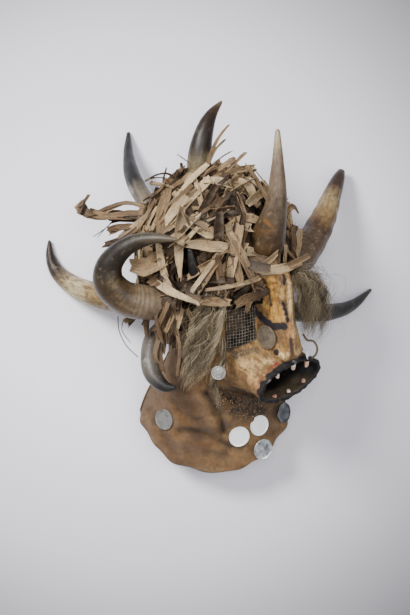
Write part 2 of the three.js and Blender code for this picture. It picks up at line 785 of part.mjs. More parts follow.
// Strips laid all over the mantle, an even spread with chance turns, their ends standing off it.
function scatteredStrips() {
  const random = randomFrom(STRIP_SEED);
  const goldenTurn = Math.PI * (3 - Math.sqrt(5));
  return Array.from({ length: STRIP_COUNT }, (_, i) => {
    const angle = i * goldenTurn;
    const level = Math.asin(blend(STRIP_LOWEST, STRIP_HIGHEST, (i + 0.5) / STRIP_COUNT));
    const run = STRIP_RUN * (0.8 + 0.4 * random()) * (random() < 0.5 ? -1 : 1);
    const drop = -STRIP_RUN * random();
    const kick = STRIP_KICK * (0.5 + random());
    const points = [0, 0.5, 1].map((share) => {
      const lift = MANTLE_DEPTH + MANTLE_LUMP + kick * (2 * share - 1) ** 2;
      const turn = angle + (run * (share - 0.5)) / Math.max(0.45, Math.cos(level));
      return mantlePoint(turn, level + drop * (share - 0.5), lift).applyMatrix4(HEAD);
    });
    const outward = points[1].clone().sub(HEAD_CENTRE).normalize();
    return stripForm(points, STRIP_WIDTH * (0.75 + 0.6 * random()), outward, STRIP_STEPS);
  });
}

// The strips that stand or hang clear of the cap: degrees round it from the front to the left,
// degrees up its dome and height over it for each point, and a width.
const SPRAYS = [
  [[[-122, 13, 54], [-134, 21, 106], [-139, 23, 146], [-143, 22, 169]], 20],
  [[[-122, 7, 41], [-136, 20, 78], [-141, 22, 122], [-142, 19, 141]], 18],
  [[[-105, 50, 14], [-127, 39, 50], [-133, 29, 75], [-134, 18, 88]], 22],
  [[[-98, 65, 14], [-50, 82, 46], [30, 81, 76], [52, 75, 92]], 16],
  [[[-76, 76, 11], [22, 84, 53], [73, 82, 104], [82, 79, 135]], 13],
  [[[-34, 82, 10], [22, 74, 47], [37, 69, 73], [47, 66, 90]], 18],
  [[[-5, 75, 7], [15, 65, 38], [17, 56, 52], [17, 46, 53]], 20],
  [[[4, 47, 10], [-31, 47, 21], [-50, 30, 14], [-57, 3, 9], [-60, -15, 10]], 20],
  [[[34, 0, 24], [-6, -2, 0], [-36, -9, 9], [-56, -19, 14]], 22],
  [[[-89, 14, 10], [-94, 10, 43], [-98, 4, 65], [-103, -5, 78]], 40],
  [[[-92, -11, -2], [-99, -37, 16], [-100, -57, 28], [-95, -81, 32]], 16],
  [[[-99, -16, 6], [-108, -43, 26], [-107, -54, 37], [-105, -67, 38]], 14],
  [[[-110, -6, 9], [-118, -25, 48], [-121, -43, 68], [-120, -61, 67]], 15],
  [[[-119, -4, 7], [-127, -20, 60], [-129, -37, 77], [-124, -61, 57]], 12],
  [[[-78, -12, 5], [-82, -41, 18], [-80, -62, 23], [-83, -79, 33]], 14],
  [[[43, 17, 9], [42, 11, 37], [39, 0, 43], [35, -16, 33]], 18],
  [[[-57, -20, 21], [-34, -8, 20], [-11, 2, 34], [14, 4, 44]], 26],
  [[[-40, -6, 9], [-19, 6, 16], [0, 8, 33], [22, 11, 34]], 22],
];

function makeMantle(tools) {
  const sprays = SPRAYS.map(([points, width]) => {
    const route = points.map(overCap);
    const outward = route[1].clone().sub(HEAD_CENTRE).normalize();
    return stripForm(route, width, outward, SPRAY_STEPS);
  });
  const strips = [...scatteredStrips(), ...sprays].map(solidOf);
  const whole = strips.reduce((sum, strip) => sum.add(strip), solidOf(mantleLayer()));
  return cut(whole, tools);
}

// Hair locks, from root to tip, given as the sprays are: points, and half width.
const LOCKS = {
  hair_right_front: [[[-30, 0, 11], [-38, -25, 18], [-45, -49, 24], [-52, -80, 24]], 20],
  hair_right_back: [[[-50, 0, 10], [-57, -25, 19], [-62, -53, 23], [-67, -88, 21]], 20],
  hair_right_long: [[[-39, -48, 14], [-42, -65, 28], [-38, -86, 28], [-35, -107, 11]], 7],
  hair_left_front: [[[13, 1, 54], [24, -16, 66], [28, -37, 66], [26, -57, 57]], 20],
  hair_left_back: [[[26, 1, 30], [37, -16, 53], [42, -37, 53], [43, -57, 42]], 20],
};

function lockCurve([points]) {
  return splineThrough(points.map(overCap));
}

// A lock is slim at its root, full in its middle and thin at its tip.
function lockForm(lock, margin) {
  const [, half] = lock;
  const fullness = (share) => Math.sin(Math.PI * Math.min(LOCK_TIP, 0.2 + 0.75 * share));
  const girth = (share) => half * blend(LOCK_SLIMNESS, 1, fullness(share)) + margin;
  return sweep(lockCurve(lock), evenShares(LOCK_STEPS), (share) => (
    roundSection(LOCK_SIDES, girth(share), LOCK_FLATNESS)));
}

function addPiece(group, name, geometry, colour, roughness, metalness = 0) {
  const material = new THREE.MeshStandardMaterial({ color: colour, roughness, metalness });
  const mesh = new THREE.Mesh(geometry, material);
  mesh.name = name;
  group.add(mesh);
  return mesh;
}

function buildMask() {
  const mask = new THREE.Group();
  const head = new THREE.Group();
  head.applyMatrix4(HEAD);
  mask.add(head);

  addPiece(head, 'head_cap', geometryOf(makeCap()), 0x2a2724, 0.95);
  const face = addPiece(head, 'wood_face', geometryOf(makeFace()), 0xb58c4c, 0.75);
  addPiece(head, 'eye_mesh_right', makeEyeMesh(-1), 0x55524a, 0.5, 0.7);
  addPiece(head, 'eye_mesh_left', makeEyeMesh(1), 0x55524a, 0.5, 0.7);
  TEETH.forEach((angle, i) => {
    addPiece(head, `tooth_${i + 1}`, toothForm(angle, 0), 0xd9c3a8, 0.5);
  });
  mask.updateMatrixWorld(true);

  const headTools = [
    solidOf(inHead(geometryOf(capEnvelope(GAP)))),
    solidOf(inHead(geometryOf(faceForm(GAP)))),
    ...[-1, 1].map((side) => solidOf(inHead(eyeCover(side)))),
  ];
  const hornTools = [];
  Object.entries(HORNS).forEach(([name, horn]) => {
    const solid = cut(solidOf(hornForm(horn, 0)), [...headTools, ...hornTools]);
    addPiece(mask, name, geometryOf(solid), horn.colour, 0.4);
    hornTools.push(solidOf(hornForm(horn, GAP)));
  });

  const hood = makeHood([...headTools, ...hornTools]);
  const hoodMesh = addPiece(mask, 'cloth_hood', geometryOf(hood), 0x9a6f44, 0.95);
  const bodyTools = [...headTools, ...hornTools, solidOf(loft(hoodRings(-GAP)))];

  const noseDisc = restOn(face, headPoint(...NOSE_DISC), NOSE_DISC_RADIUS);
  const discTools = [discTool(NOSE_DISC_RADIUS, noseDisc)];
  const plate = solidOf(discPose(discForm(NOSE_DISC_RADIUS, DISC_THICKNESS), noseDisc));
  addPiece(mask, 'nose_disc', geometryOf(cut(plate, headTools)), 0x6f675c, 0.45, 0.6);
  const mirror = discForm(MIRROR_RADIUS, DISC_THICKNESS);
  Object.entries(MIRRORS).forEach(([name, [degrees, share, colour, roughness]]) => {
    const place = hoodPoint(THREE.MathUtils.degToRad(degrees), share, 0);
    const pose = restOn(hoodMesh, place, MIRROR_RADIUS);
    discTools.push(discTool(MIRROR_RADIUS, pose));
    addPiece(mask, name, discPose(mirror, pose), colour, roughness, 0.9);
  });
  const lipPose = restOn(face, headPoint(...LIP_MIRROR), LIP_MIRROR_RADIUS);
  discTools.push(discTool(LIP_MIRROR_RADIUS, lipPose));
  const lipMirror = solidOf(discPose(discForm(LIP_MIRROR_RADIUS, LIP_MIRROR_THICKNESS), lipPose));
  addPiece(mask, 'lip_mirror', geometryOf(cut(lipMirror, headTools)), 0xc8cacc, 0.1, 0.9);

  const lockTools = [];
  Object.entries(LOCKS).forEach(([name, lock]) => {
    const solid = cut(solidOf(lockForm(lock, 0)), [...bodyTools, ...discTools, ...lockTools]);
    const mesh = addPiece(mask, name, geometryOf(solid), 0xa2937c, 0.6);
    lockTools.push(solidOf(lockForm(lock, GAP)));
    if (name === 'hair_right_front') {
      const pose = restOn(mesh, lockCurve(lock).getPoint(GLASS_SHARE), GLASS_RADIUS);
      discTools.push(discTool(GLASS_RADIUS, pose));
      addPiece(mask, 'glass_disc', discPose(discForm(GLASS_RADIUS, GLASS_THICKNESS), pose), 0xd8dcdc, 0.1);
    }
  });

  const mantle = makeMantle([...bodyTools, ...discTools, ...lockTools]);
  addPiece(mask, 'leaf_mantle', geometryOf(mantle), 0xa98b66, 0.85);
  return mask;
}

// The origin is under the middle of the whole mask, on the floor.
function centred(mask) {
  const box = new THREE.Box3().setFromObject(mask, true);
  const middle = box.getCenter(new THREE.Vector3());
  mask.position.set(-middle.x, -middle.y, -box.min.z);
  return mask;
}

const group = centred(buildMask());

export default group;
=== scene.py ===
"""Looks of a horned carved mask with a leaf mantle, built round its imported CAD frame."""

import math
import random

import bpy
import numpy as np
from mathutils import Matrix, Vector
from mathutils.bvhtree import BVHTree


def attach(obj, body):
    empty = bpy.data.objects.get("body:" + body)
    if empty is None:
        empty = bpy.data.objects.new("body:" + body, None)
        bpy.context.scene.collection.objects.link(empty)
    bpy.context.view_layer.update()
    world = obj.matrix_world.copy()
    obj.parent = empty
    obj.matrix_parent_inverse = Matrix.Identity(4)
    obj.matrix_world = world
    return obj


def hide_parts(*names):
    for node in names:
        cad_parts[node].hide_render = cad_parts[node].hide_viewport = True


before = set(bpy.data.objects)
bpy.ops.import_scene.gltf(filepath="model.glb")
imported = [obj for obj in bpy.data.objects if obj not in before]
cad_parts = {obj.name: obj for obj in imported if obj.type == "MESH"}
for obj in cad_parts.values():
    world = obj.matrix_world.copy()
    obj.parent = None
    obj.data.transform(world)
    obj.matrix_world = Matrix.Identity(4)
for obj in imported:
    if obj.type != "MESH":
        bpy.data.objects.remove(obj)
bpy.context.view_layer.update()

MM = 0.001
# From the design's origin, under the middle of the photograph, to the frame's origin.
SHIFT = (-9.948, -36.705, 0.0)
# The camera looks straight down on the lying mask.
CAMERA_HEIGHT = 3180
FOCUS_HEIGHT = 180
MM_PER_PIXEL = 2.0
IMAGE_MIDDLE = (205, 307.5)

bpy.ops.object.select_all(action="DESELECT")
bpy.ops.object.camera_add(
    location=(SHIFT[0] * MM, SHIFT[1] * MM, CAMERA_HEIGHT * MM), rotation=(0, 0, 0)
)
camera = bpy.context.object
camera.name = "overhead_camera"
camera.data.sensor_fit = "VERTICAL"
camera.data.angle = 2 * math.atan(IMAGE_MIDDLE[1] * MM_PER_PIXEL / (CAMERA_HEIGHT - FOCUS_HEIGHT))
bpy.context.scene.camera = camera

# The draws of the wires and sprays, and those of the strips' grain.
chance = random.Random(7)
grain_rng = np.random.default_rng(5)


# Places in the photograph, on the head and in the frame


def seen(px, py, z):
    """Where a pixel of the photograph lies at the height z, in design millimetres."""
    near = 1 - (z - FOCUS_HEIGHT) / (CAMERA_HEIGHT - FOCUS_HEIGHT)
    scale = MM_PER_PIXEL * near
    return (px - IMAGE_MIDDLE[0]) * scale, (IMAGE_MIDDLE[1] - py) * scale, z


def pixels(points):
    """Where design points show in the photograph."""
    points = np.asarray(points, float)
    near = 1 - (points[:, 2] - FOCUS_HEIGHT) / (CAMERA_HEIGHT - FOCUS_HEIGHT)
    scale = MM_PER_PIXEL * near
    return IMAGE_MIDDLE[0] + points[:, 0] / scale, IMAGE_MIDDLE[1] - points[:, 1] / scale


# The head's middle and its three directions, in the design's millimetres.
HEAD_CENTRE = np.array((22.0, 95.0, 165.0))
LEFT = np.array((0.695, 0.255, -0.672))
FORWARD = np.array((0.718, -0.181, 0.672))
CROWN = np.array((-0.05, 0.95, 0.309))


def head(left, forward, up):
    """A point given on the head, in design millimetres."""
    return HEAD_CENTRE + left * LEFT + forward * FORWARD + up * CROWN


def to_row(points):
    """Design millimetres as metres of the frame."""
    return (np.asarray(points, float) + np.array(SHIFT)) * MM


def from_row(points):
    """Metres of the frame as design millimetres."""
    return np.asarray(points, float) / MM - np.array(SHIFT)


def on_head(points):
    """Head coordinates (left, forward, up) of points of the frame, in millimetres."""
    away = from_row(points) - HEAD_CENTRE
    return np.stack([away @ LEFT, away @ FORWARD, away @ CROWN], axis=-1)


def smooth(value, low, high):
    """Eases from 0 at low to 1 at high, which may be the smaller one."""
    t = np.clip((np.asarray(value, float) - low) / (high - low), 0, 1)
    return t * t * (3 - 2 * t)


WAVE_TRAINS = 7


def waves(points, size, seed):
    """Smooth random relief, mostly from -1 to 1, with bumps of about the given size."""
    rng = np.random.default_rng(seed)
    points = np.asarray(points, float)
    total = np.zeros(points.shape[0])
    for _ in range(WAVE_TRAINS):
        way = rng.normal(size=points.shape[1])
        way *= (0.6 + 0.8 * rng.random()) * 2 * math.pi / (size * np.linalg.norm(way))
        total += np.sin(points @ way + rng.random() * 2 * math.pi)
    return total / math.sqrt(WAVE_TRAINS)


def curve_points(points, shares):
    """Centripetal spline through the points, at shares from 0 to 1 of the way along them."""
    points = np.asarray(points, float)
    last = len(points) - 1
    out = []
    for share in shares:
        spot = min(max(share, 0.0), 1.0) * last
        i = min(int(spot), last - 1)
        t = spot - i
        p1, p2 = points[i], points[i + 1]
        p0 = points[i - 1] if i > 0 else 2 * p1 - p2
        p3 = points[i + 2] if i + 2 <= last else 2 * p2 - p1
        d0 = max(np.linalg.norm(p1 - p0) ** 0.5, 1e-4)
        d1 = max(np.linalg.norm(p2 - p1) ** 0.5, 1e-4)
        d2 = max(np.linalg.norm(p3 - p2) ** 0.5, 1e-4)
        m1 = ((p1 - p0) / d0 - (p2 - p0) / (d0 + d1) + (p2 - p1) / d1) * d1
        m2 = ((p2 - p1) / d1 - (p3 - p1) / (d1 + d2) + (p3 - p2) / d2) * d1
        c2 = -3 * p1 + 3 * p2 - 2 * m1 - m2
        c3 = 2 * p1 - 2 * p2 + m1 + m2
        out.append(p1 + m1 * t + c2 * t * t + c3 * t ** 3)
    return np.array(out)


FAR = 1e9


def gap_to(points, line):
    """How far points are from a line of points."""
    line = np.asarray(line, float)
    nearest = np.full(len(points), FAR)
    for a, b in zip(line, line[1:] if len(line) > 1 else line):
        way = b - a
        t = np.clip(((points - a) @ way) / max(way @ way, 1e-12), 0, 1)
        nearest = np.minimum(nearest, np.linalg.norm(points - a - t[:, None] * way, axis=1))
    return nearest


def closeness(points, line, width):
    """How near points are to a line of points: 1 on it, fading over the width."""
    return np.exp(-((gap_to(points, line) / width) ** 2))


def carried_frames(path, first):
    """The direction and two cross directions at each point of a path, carried without twist."""
    path = np.asarray(path, float)
    ways = np.gradient(path, axis=0)
    ways /= np.linalg.norm(ways, axis=1)[:, None]
    side = np.array(first)
    if abs(side @ ways[0]) > 0.95 * np.linalg.norm(side):
        side = np.array((0.0, 1.0, 0.0))
    sides = []
    for way in ways:
        side = side - way * (side @ way)
        side /= np.linalg.norm(side)
        sides.append(side)
    sides = np.array(sides)
    return ways, sides, np.cross(ways, sides)


# Modelling helpers


def pick(*pieces):
    """Selects these pieces alone; the first is active."""
    if bpy.context.object and bpy.context.object.mode != "OBJECT":
        bpy.ops.object.mode_set(mode="OBJECT")
    bpy.ops.object.select_all(action="DESELECT")
    for piece in pieces:
        piece.select_set(True)
    bpy.context.view_layer.objects.active = pieces[0]


def apply_modifiers(piece):
    """Applies a piece's modifiers, in their order."""
    pick(piece)
    for modifier in list(piece.modifiers):
        bpy.ops.object.modifier_apply(modifier=modifier.name)


def coordinates(piece):
    """The piece's points, one a row."""
    flat = np.empty(len(piece.data.vertices) * 3)
    piece.data.vertices.foreach_get("co", flat)
    return flat.reshape(-1, 3)


def place_points(piece, points):
    """Moves the piece's points to these places."""
    piece.data.vertices.foreach_set("co", np.asarray(points, float).ravel())
    piece.data.update()


def directions(piece):
    """The outward direction at each point of the piece."""
    flat = np.empty(len(piece.data.vertices) * 3)
    piece.data.vertex_normals.foreach_get("vector", flat)
    return flat.reshape(-1, 3)


def note(piece, name, values):
    """Keeps one number a vertex on the piece, for its finish."""
    attribute = piece.data.attributes.new(name, "FLOAT", "POINT")
    attribute.data.foreach_set("value", np.asarray(values, float).ravel())


def note_place(piece, name, values):
    """Keeps one place a vertex on the piece, for a pattern that follows its surface."""
    attribute = piece.data.attributes.new(name, "FLOAT_VECTOR", "POINT")
    attribute.data.foreach_set("vector", np.asarray(values, float).ravel())


def note_paint(piece, name, colours):
    """Keeps one colour a vertex on the piece."""
    attribute = piece.data.color_attributes.new(name, "FLOAT_COLOR", "POINT")
    full = np.concatenate([colours, np.ones((len(colours), 1))], axis=1)
    attribute.data.foreach_set("color", full.ravel())


# Points nearer than this, in metres, are merged: on new pieces, and on copies of CAD nodes.
WELD_GAP = 0.00002
NODE_WELD_GAP = 0.00001


def close_up(piece, gap=WELD_GAP):
    """Merges doubled points and turns all faces outwards."""
    pick(piece)
    bpy.ops.object.mode_set(mode="EDIT")
    bpy.ops.mesh.select_all(action="SELECT")
    bpy.ops.mesh.remove_doubles(threshold=gap)
    bpy.ops.mesh.normals_make_consistent(inside=False)
    bpy.ops.object.mode_set(mode="OBJECT")


def grid(name, across, along):
    """A plane primitive of across x along faces, and the share of each point both ways."""
    pick(camera)
    bpy.ops.mesh.primitive_grid_add(x_subdivisions=across, y_subdivisions=along, size=1)
    piece = bpy.context.object
    piece.name = piece.data.name = name
    points = coordinates(piece)
    return piece, points[:, 0] + 0.5, points[:, 1] + 0.5


def from_arrays(name, points, faces):
    """One mesh from copies of a modelled strip or strand."""
    data = bpy.data.meshes.new(name)
    data.from_pydata([tuple(p) for p in points], [], [tuple(f) for f in faces])
    piece = bpy.data.objects.new(name, data)
    bpy.context.collection.objects.link(piece)
    return piece


def tubes(name, routes, caps=True):
    """Four-sided strands along routes of (x, y, z, radius), in metres, as one mesh."""
    curve = bpy.data.curves.new(name, "CURVE")
    curve.dimensions = "3D"
    curve.bevel_depth = 1.0
    curve.bevel_resolution = 0
    curve.use_fill_caps = caps
    for route in routes:
        route = np.asarray(route, float)
        line = curve.splines.new("POLY")
        line.points.add(len(route) - 1)
        spots = np.concatenate([route[:, :3], np.ones((len(route), 1))], axis=1)
        line.points.foreach_set("co", spots.ravel())
        line.points.foreach_set("radius", route[:, 3].copy())
    piece = bpy.data.objects.new(name, curve)
    bpy.context.collection.objects.link(piece)
    pick(piece)
    bpy.ops.object.convert(target="MESH")
    piece = bpy.context.object
    piece.name = piece.data.name = name
    return piece


def shade(piece, degrees=None):
    """Smooth shading: all over, or only where faces meet at less than this angle."""
    pick(piece)
    if degrees is None:
        bpy.ops.object.shade_smooth()
    else:
        bpy.ops.object.shade_smooth_by_angle(angle=math.radians(degrees))


def finish(piece, finish_of, slot, *nodes):
    """Gives a piece its material, its body and the nodes it stands for; its slot is not used."""
    piece.data.materials.clear()
    piece.data.materials.append(finish_of)
    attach(piece, "root")
    if nodes:
        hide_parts(*nodes)


def copy_of_node(name, new_name):
    """A CAD node's shape as a piece of its own, its loose triangles merged."""
    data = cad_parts[name].data.copy()
    piece = bpy.data.objects.new(new_name, data)
    bpy.context.collection.objects.link(piece)
    close_up(piece, NODE_WELD_GAP)
    return piece


# Finishes


def tone(red, green, blue):
    """A colour as it looks on a screen, from 0 to 255, as light."""
    return tuple(
        c / 255 / 12.92 if c / 255 <= 0.04045 else ((c / 255 + 0.055) / 1.055) ** 2.4
        for c in (red, green, blue)
    )


HORN_DIM = 0.55


def dimmed(colour):
    """A horn's colour darkened in light, so that it looks right under the bright studio lamps."""
    return tuple(channel * HORN_DIM for channel in colour)


class Finish:
    """A procedural material, built a node at a time."""

    def __init__(self, name, **sockets):
        """Takes the shader's plain values by their sockets' names."""
        self.material = bpy.data.materials.new(name)
        self.material.use_nodes = True
        self.tree = self.material.node_tree
        self.shader = self.tree.nodes["Principled BSDF"]
        for socket, value in sockets.items():
            self.shader.inputs[socket.replace("_", " ")].default_value = value

    def add(self, kind, inputs=(), **settings):
        """A node with its inputs, each a value or another node's output."""
        made = self.tree.nodes.new(kind)
        for setting, value in settings.items():
            setattr(made, setting, value)
        for key, value in dict(inputs).items():
            self.join(value, made.inputs[key])
        return made

    def join(self, value, socket):
        if isinstance(value, bpy.types.NodeSocket):
            self.tree.links.new(value, socket)
        elif isinstance(value, tuple) and len(value) == 3 and socket.type == "RGBA":
            socket.default_value = (*value, 1)
        else:
            socket.default_value = value

    def place(self, attribute=None, scale=(1, 1, 1)):
        """Where a pattern is read: on the object, or by a place kept on the piece."""
        if attribute:
            source = self.add("ShaderNodeAttribute", attribute_name=attribute).outputs["Vector"]
        else:
            source = self.add("ShaderNodeTexCoord").outputs["Object"]
        return self.add("ShaderNodeMapping", {"Vector": source, "Scale": scale}).outputs["Vector"]

    def number(self, attribute):
        return self.add("ShaderNodeAttribute", attribute_name=attribute).outputs["Fac"]

    def paint(self, attribute):
        return self.add("ShaderNodeAttribute", attribute_name=attribute).outputs["Color"]

    def noise(self, vector, scale, detail=4.0, roughness=0.55, distortion=0.0):
        return self.add(
            "ShaderNodeTexNoise",
            {
                "Vector": vector,
                "Scale": scale,
                "Detail": detail,
                "Roughness": roughness,
                "Distortion": distortion,
            },
        ).outputs["Fac"]

    def span(self, value, low, high, to_low=0.0, to_high=1.0):
        """Spreads what lies from low to high over another range."""
        return self.add(
            "ShaderNodeMapRange",
            {0: value, 1: low, 2: high, 3: to_low, 4: to_high},
            clamp=True,
        ).outputs[0]

    def calculate(self, how, a, b):
        return self.add("ShaderNodeMath", {0: a, 1: b}, operation=how).outputs[0]

    def sum(self, a, b):
        return self.calculate("ADD", a, b)

    def times(self, a, b):
        return self.calculate("MULTIPLY", a, b)

    def mix(self, share, a, b):
        made = self.add("ShaderNodeMix", data_type="RGBA")
        self.join(share, made.inputs[0])
        self.join(a, made.inputs[6])
        self.join(b, made.inputs[7])
        return made.outputs[2]

    def bands(self, value, stops):
        """Colours at their stops along a value."""
        made = self.add("ShaderNodeValToRGB", {"Fac": value})
        ramp = made.color_ramp
        while len(ramp.elements) < len(stops):
            ramp.elements.new(0.5)
        for element, (spot, colour) in zip(ramp.elements, stops):
            element.position = spot
            element.color = (*colour, 1)
        return made.outputs["Color"]

    def colour(self, value):
        self.join(value, self.shader.inputs["Base Color"])

    def rough(self, value):
        self.join(value, self.shader.inputs["Roughness"])

    def relief(self, height, depth, strength):
        """Fine bumps, their depth in metres."""
        made = self.add(
            "ShaderNodeBump", {"Height": height, "Distance": depth, "Strength": strength}
        )
        self.tree.links.new(made.outputs[0], self.shader.inputs["Normal"])


def horn_finish(name, stops, mottle, stain, ring_depth, speckle):
    """Horn: bands along it, lengthwise streaks, mottles, a stain, growth rings and a dull polish."""
    made = Finish(name, Coat_Weight=0.05, Coat_Roughness=0.25, Specular_IOR_Level=0.3)
    along = made.number("along")
    fibre, place = made.place("fibre"), made.place()
    wander = made.noise(fibre, 2.2, 4, 0.65)
    spot = made.sum(along, made.span(wander, 0.25, 0.75, -0.06, 0.06))
    body = made.bands(spot, [(share, dimmed(colour)) for share, colour in stops])
    fine = made.noise(made.place("fibre", (1, 1, 3.0)), 14.0, 5, 0.7)
    streaks = made.span(made.noise(fibre, 5.0, 6, 0.7, 0.5), 0.4, 0.66)
    patches = made.span(made.noise(place, 34.0, 6, 0.66, 0.6), 0.52, 0.66)
    glints = made.span(made.noise(place, 75.0, 6, 0.72), 0.56, 0.7)
    broken = made.span(made.noise(place, 42.0, 6, 0.7, 0.5), 0.46, 0.6)
    # The stain; on the jaw horn it is a painted glint.
    stained = made.times(made.number("stain"), broken)
    dirt = made.span(made.noise(place, 120.0, 6, 0.7), 0.54, 0.68)
    for pattern, most, colour in (
        (streaks, speckle, dimmed(mottle)),
        (patches, speckle, dimmed(mottle)),
        (glints, speckle * 0.7, dimmed(tone(186, 170, 138))),
        (stained, 0.7, dimmed(stain)),
        (dirt, 0.4, tone(18, 14, 10)),
    ):
        body = made.mix(made.times(pattern, most), body, colour)
    made.colour(body)
    made.rough(made.span(fine, 0.3, 0.75, 0.3, 0.55))
    rings = made.add(
        "ShaderNodeTexWave",
        {"Vector": fibre, "Scale": 3.4, "Distortion": 2.2, "Detail": 3.0},
        wave_type="BANDS",
        bands_direction="Z",
    ).outputs["Fac"]
    low = made.span(along, 0.12, 0.4, 1.0, 0.0)
    height = made.times(made.times(rings, low), 0.35 + ring_depth)
    height = made.sum(height, made.times(fine, 0.6))
    made.relief(height, 0.0011, 0.6)
    return made.material


def leaf_finish():
    """Dried leaf: tan to dark brown strips with fibres along them, each with its own shade."""
    made = Finish("dried_leaf", Roughness=0.8, Specular_IOR_Level=0.2)
    fibre = made.place("fibre")
    shade_of = made.number("shade")
    coarse = made.noise(fibre, 0.8, 3, 0.6)
    uneven = made.sum(shade_of, made.span(coarse, 0.25, 0.75, -0.22, 0.2))
    body = made.bands(
        uneven,
        [
            (0.0, tone(18, 13, 9)),
            (0.25, tone(46, 34, 24)),
            (0.5, tone(100, 78, 56)),
            (0.75, tone(164, 137, 102)),
            (1.0, tone(216, 192, 152)),
        ],
    )
    fine = made.noise(fibre, 3.0, 6, 0.65)
    hair_lines = made.noise(fibre, 7.0, 4, 0.6)
    grey = made.noise(made.place(), 26.0, 4, 0.6)
    spots = made.noise(made.place(), 210.0, 4, 0.6)
    for pattern, start, full, most, colour in (
        (coarse, 0.55, 0.72, 0.5, tone(104, 76, 48)),
        (fine, 0.5, 0.66, 0.65, tone(58, 43, 30)),
        (hair_lines, 0.52, 0.62, 0.55, tone(50, 38, 28)),
        (fine, 0.46, 0.3, 0.3, tone(206, 178, 138)),
        (grey, 0.5, 0.66, 0.5, tone(104, 93, 82)),
        (spots, 0.6, 0.7, 0.7, tone(44, 30, 20)),
    ):
        body = made.mix(made.span(pattern, start, full, 0.0, most), body, colour)
    made.colour(body)
    made.relief(made.sum(fine, made.times(hair_lines, 0.8)), 0.0012, 0.9)
    return made.material


def underlay_gap_shade_finish():
    """The mat of old leaf and cloth that shows between the strips, its near-black colour partly painted
    shade in the gaps.
    """
    made = Finish("underlay_painted_gap_shade", Roughness=0.95, Specular_IOR_Level=0.05)
    place = made.place()
    body = made.bands(
        made.noise(place, 60.0, 6, 0.7),
        [(0.35, tone(10, 8, 7)), (0.55, tone(26, 19, 14)), (0.72, tone(64, 47, 33))],
    )
    made.colour(body)
    made.relief(made.noise(place, 160.0, 5, 0.7), 0.003, 0.9)
    return made.material


def paint_finish():
    """Carved wood under worn earth paint, read from the paint kept on the piece."""
    made = Finish("worn_paint", Specular_IOR_Level=0.3)
    place = made.place()
    carving = made.place("carving")
    # Dark paint and painted shade stay dark: the wear shows on the pale parts.
    bare = made.calculate("SUBTRACT", 1.0, made.number("dark_paint_and_shade"))
    strokes = made.noise(carving, 1.0, 5, 0.65, 0.3)
    grain = made.noise(carving, 3.2, 5, 0.7)
    patches = made.noise(place, 42.0, 6, 0.62)
    speck = made.noise(place, 260.0, 4, 0.7)
    body = made.paint("paint")
    for pattern, start, full, most, colour in (
        (strokes, 0.47, 0.62, 0.72, tone(88, 58, 30)),
        (grain, 0.5, 0.62, 0.7, tone(52, 36, 22)),
        (patches, 0.5, 0.64, 0.6, tone(92, 72, 44)),
        (strokes, 0.45, 0.3, 0.4, tone(206, 172, 112)),
    ):
        worn = made.times(made.span(pattern, start, full, 0.0, most), bare)
        body = made.mix(worn, body, colour)
    body = made.mix(made.span(speck, 0.6, 0.68, 0.0, 0.6), body, tone(34, 24, 16))
    made.colour(body)
    made.rough(made.span(patches, 0.3, 0.7, 0.5, 0.78))
    made.relief(made.sum(made.times(strokes, 1.3), made.times(grain, 0.7)), 0.0022, 0.9)
    return made.material


def cloth_finish(name, dark, middle, light, thread, weave_depth):
    """Woven cloth on its own UV, worn and stained, with painted shade between its threads and in the
    piece's dark marks.
    """
    made = Finish(name, Roughness=0.92, Specular_IOR_Level=0.15)
    made.shader.inputs["Sheen Weight"].default_value = 0.15
    uv = made.add("ShaderNodeUVMap", uv_map="UVMap").outputs["UV"]
    threads = [
        made.add(
            "ShaderNodeTexWave",
            {"Vector": uv, "Scale": thread, "Distortion": 1.4, "Detail": 2.0, "Detail Scale": 0.6},
            wave_type="BANDS",
            bands_direction=way,
        ).outputs["Fac"]
        for way in ("X", "Y")
    ]
    weave = made.times(*threads)
    place = made.place()
    stain = made.noise(place, 9.0, 6, 0.6)
    fleck = made.noise(place, 120.0, 5, 0.7)
    body = made.bands(stain, [(0.3, dark), (0.5, middle), (0.68, light)])
    rubbed = made.noise(place, 34.0, 6, 0.66)
    body = made.mix(made.span(rubbed, 0.5, 0.66, 0.0, 0.5), body, dark)
    body = made.mix(made.span(rubbed, 0.46, 0.32, 0.0, 0.4), body, light)
    body = made.mix(made.span(fleck, 0.45, 0.7, 0.0, 0.5), body, dark)
    # Painted shade in the gaps between the threads.
    body = made.mix(made.span(weave, 0.0, 0.3, 0.35, 0.0), body, dark)
    # The piece's marks: painted shade in the fold hollows, under the jaw and at the neck, with stains.
    body = made.mix(made.number("worn"), body, tone(20, 14, 10))
    sparks = made.span(made.noise(place, 380.0, 3, 0.6), 0.6, 0.66)
    body = made.mix(made.times(sparks, made.number("specks")), body, tone(176, 150, 120))
    made.colour(body)
    made.relief(made.sum(made.times(weave, 0.8), made.times(fleck, 0.6)), weave_depth, 0.7)
    return made.material


def black_cloth_finish():
    """The head cap's padded black cloth."""
    made = Finish("black_cloth", Roughness=0.95, Specular_IOR_Level=0.1)
    place = made.place()
    body = made.bands(
        made.noise(place, 30.0, 5, 0.6),
        [(0.3, tone(14, 13, 13)), (0.55, tone(30, 28, 27)), (0.75, tone(54, 48, 43))],
    )
    made.colour(body)
    weave = made.add(
        "ShaderNodeTexWave",
        {"Vector": place, "Scale": 160.0, "Distortion": 2.0, "Detail": 2.0},
        bands_direction="DIAGONAL",
    ).outputs["Fac"]
    made.relief(weave, 0.0006, 0.6)
    return made.material


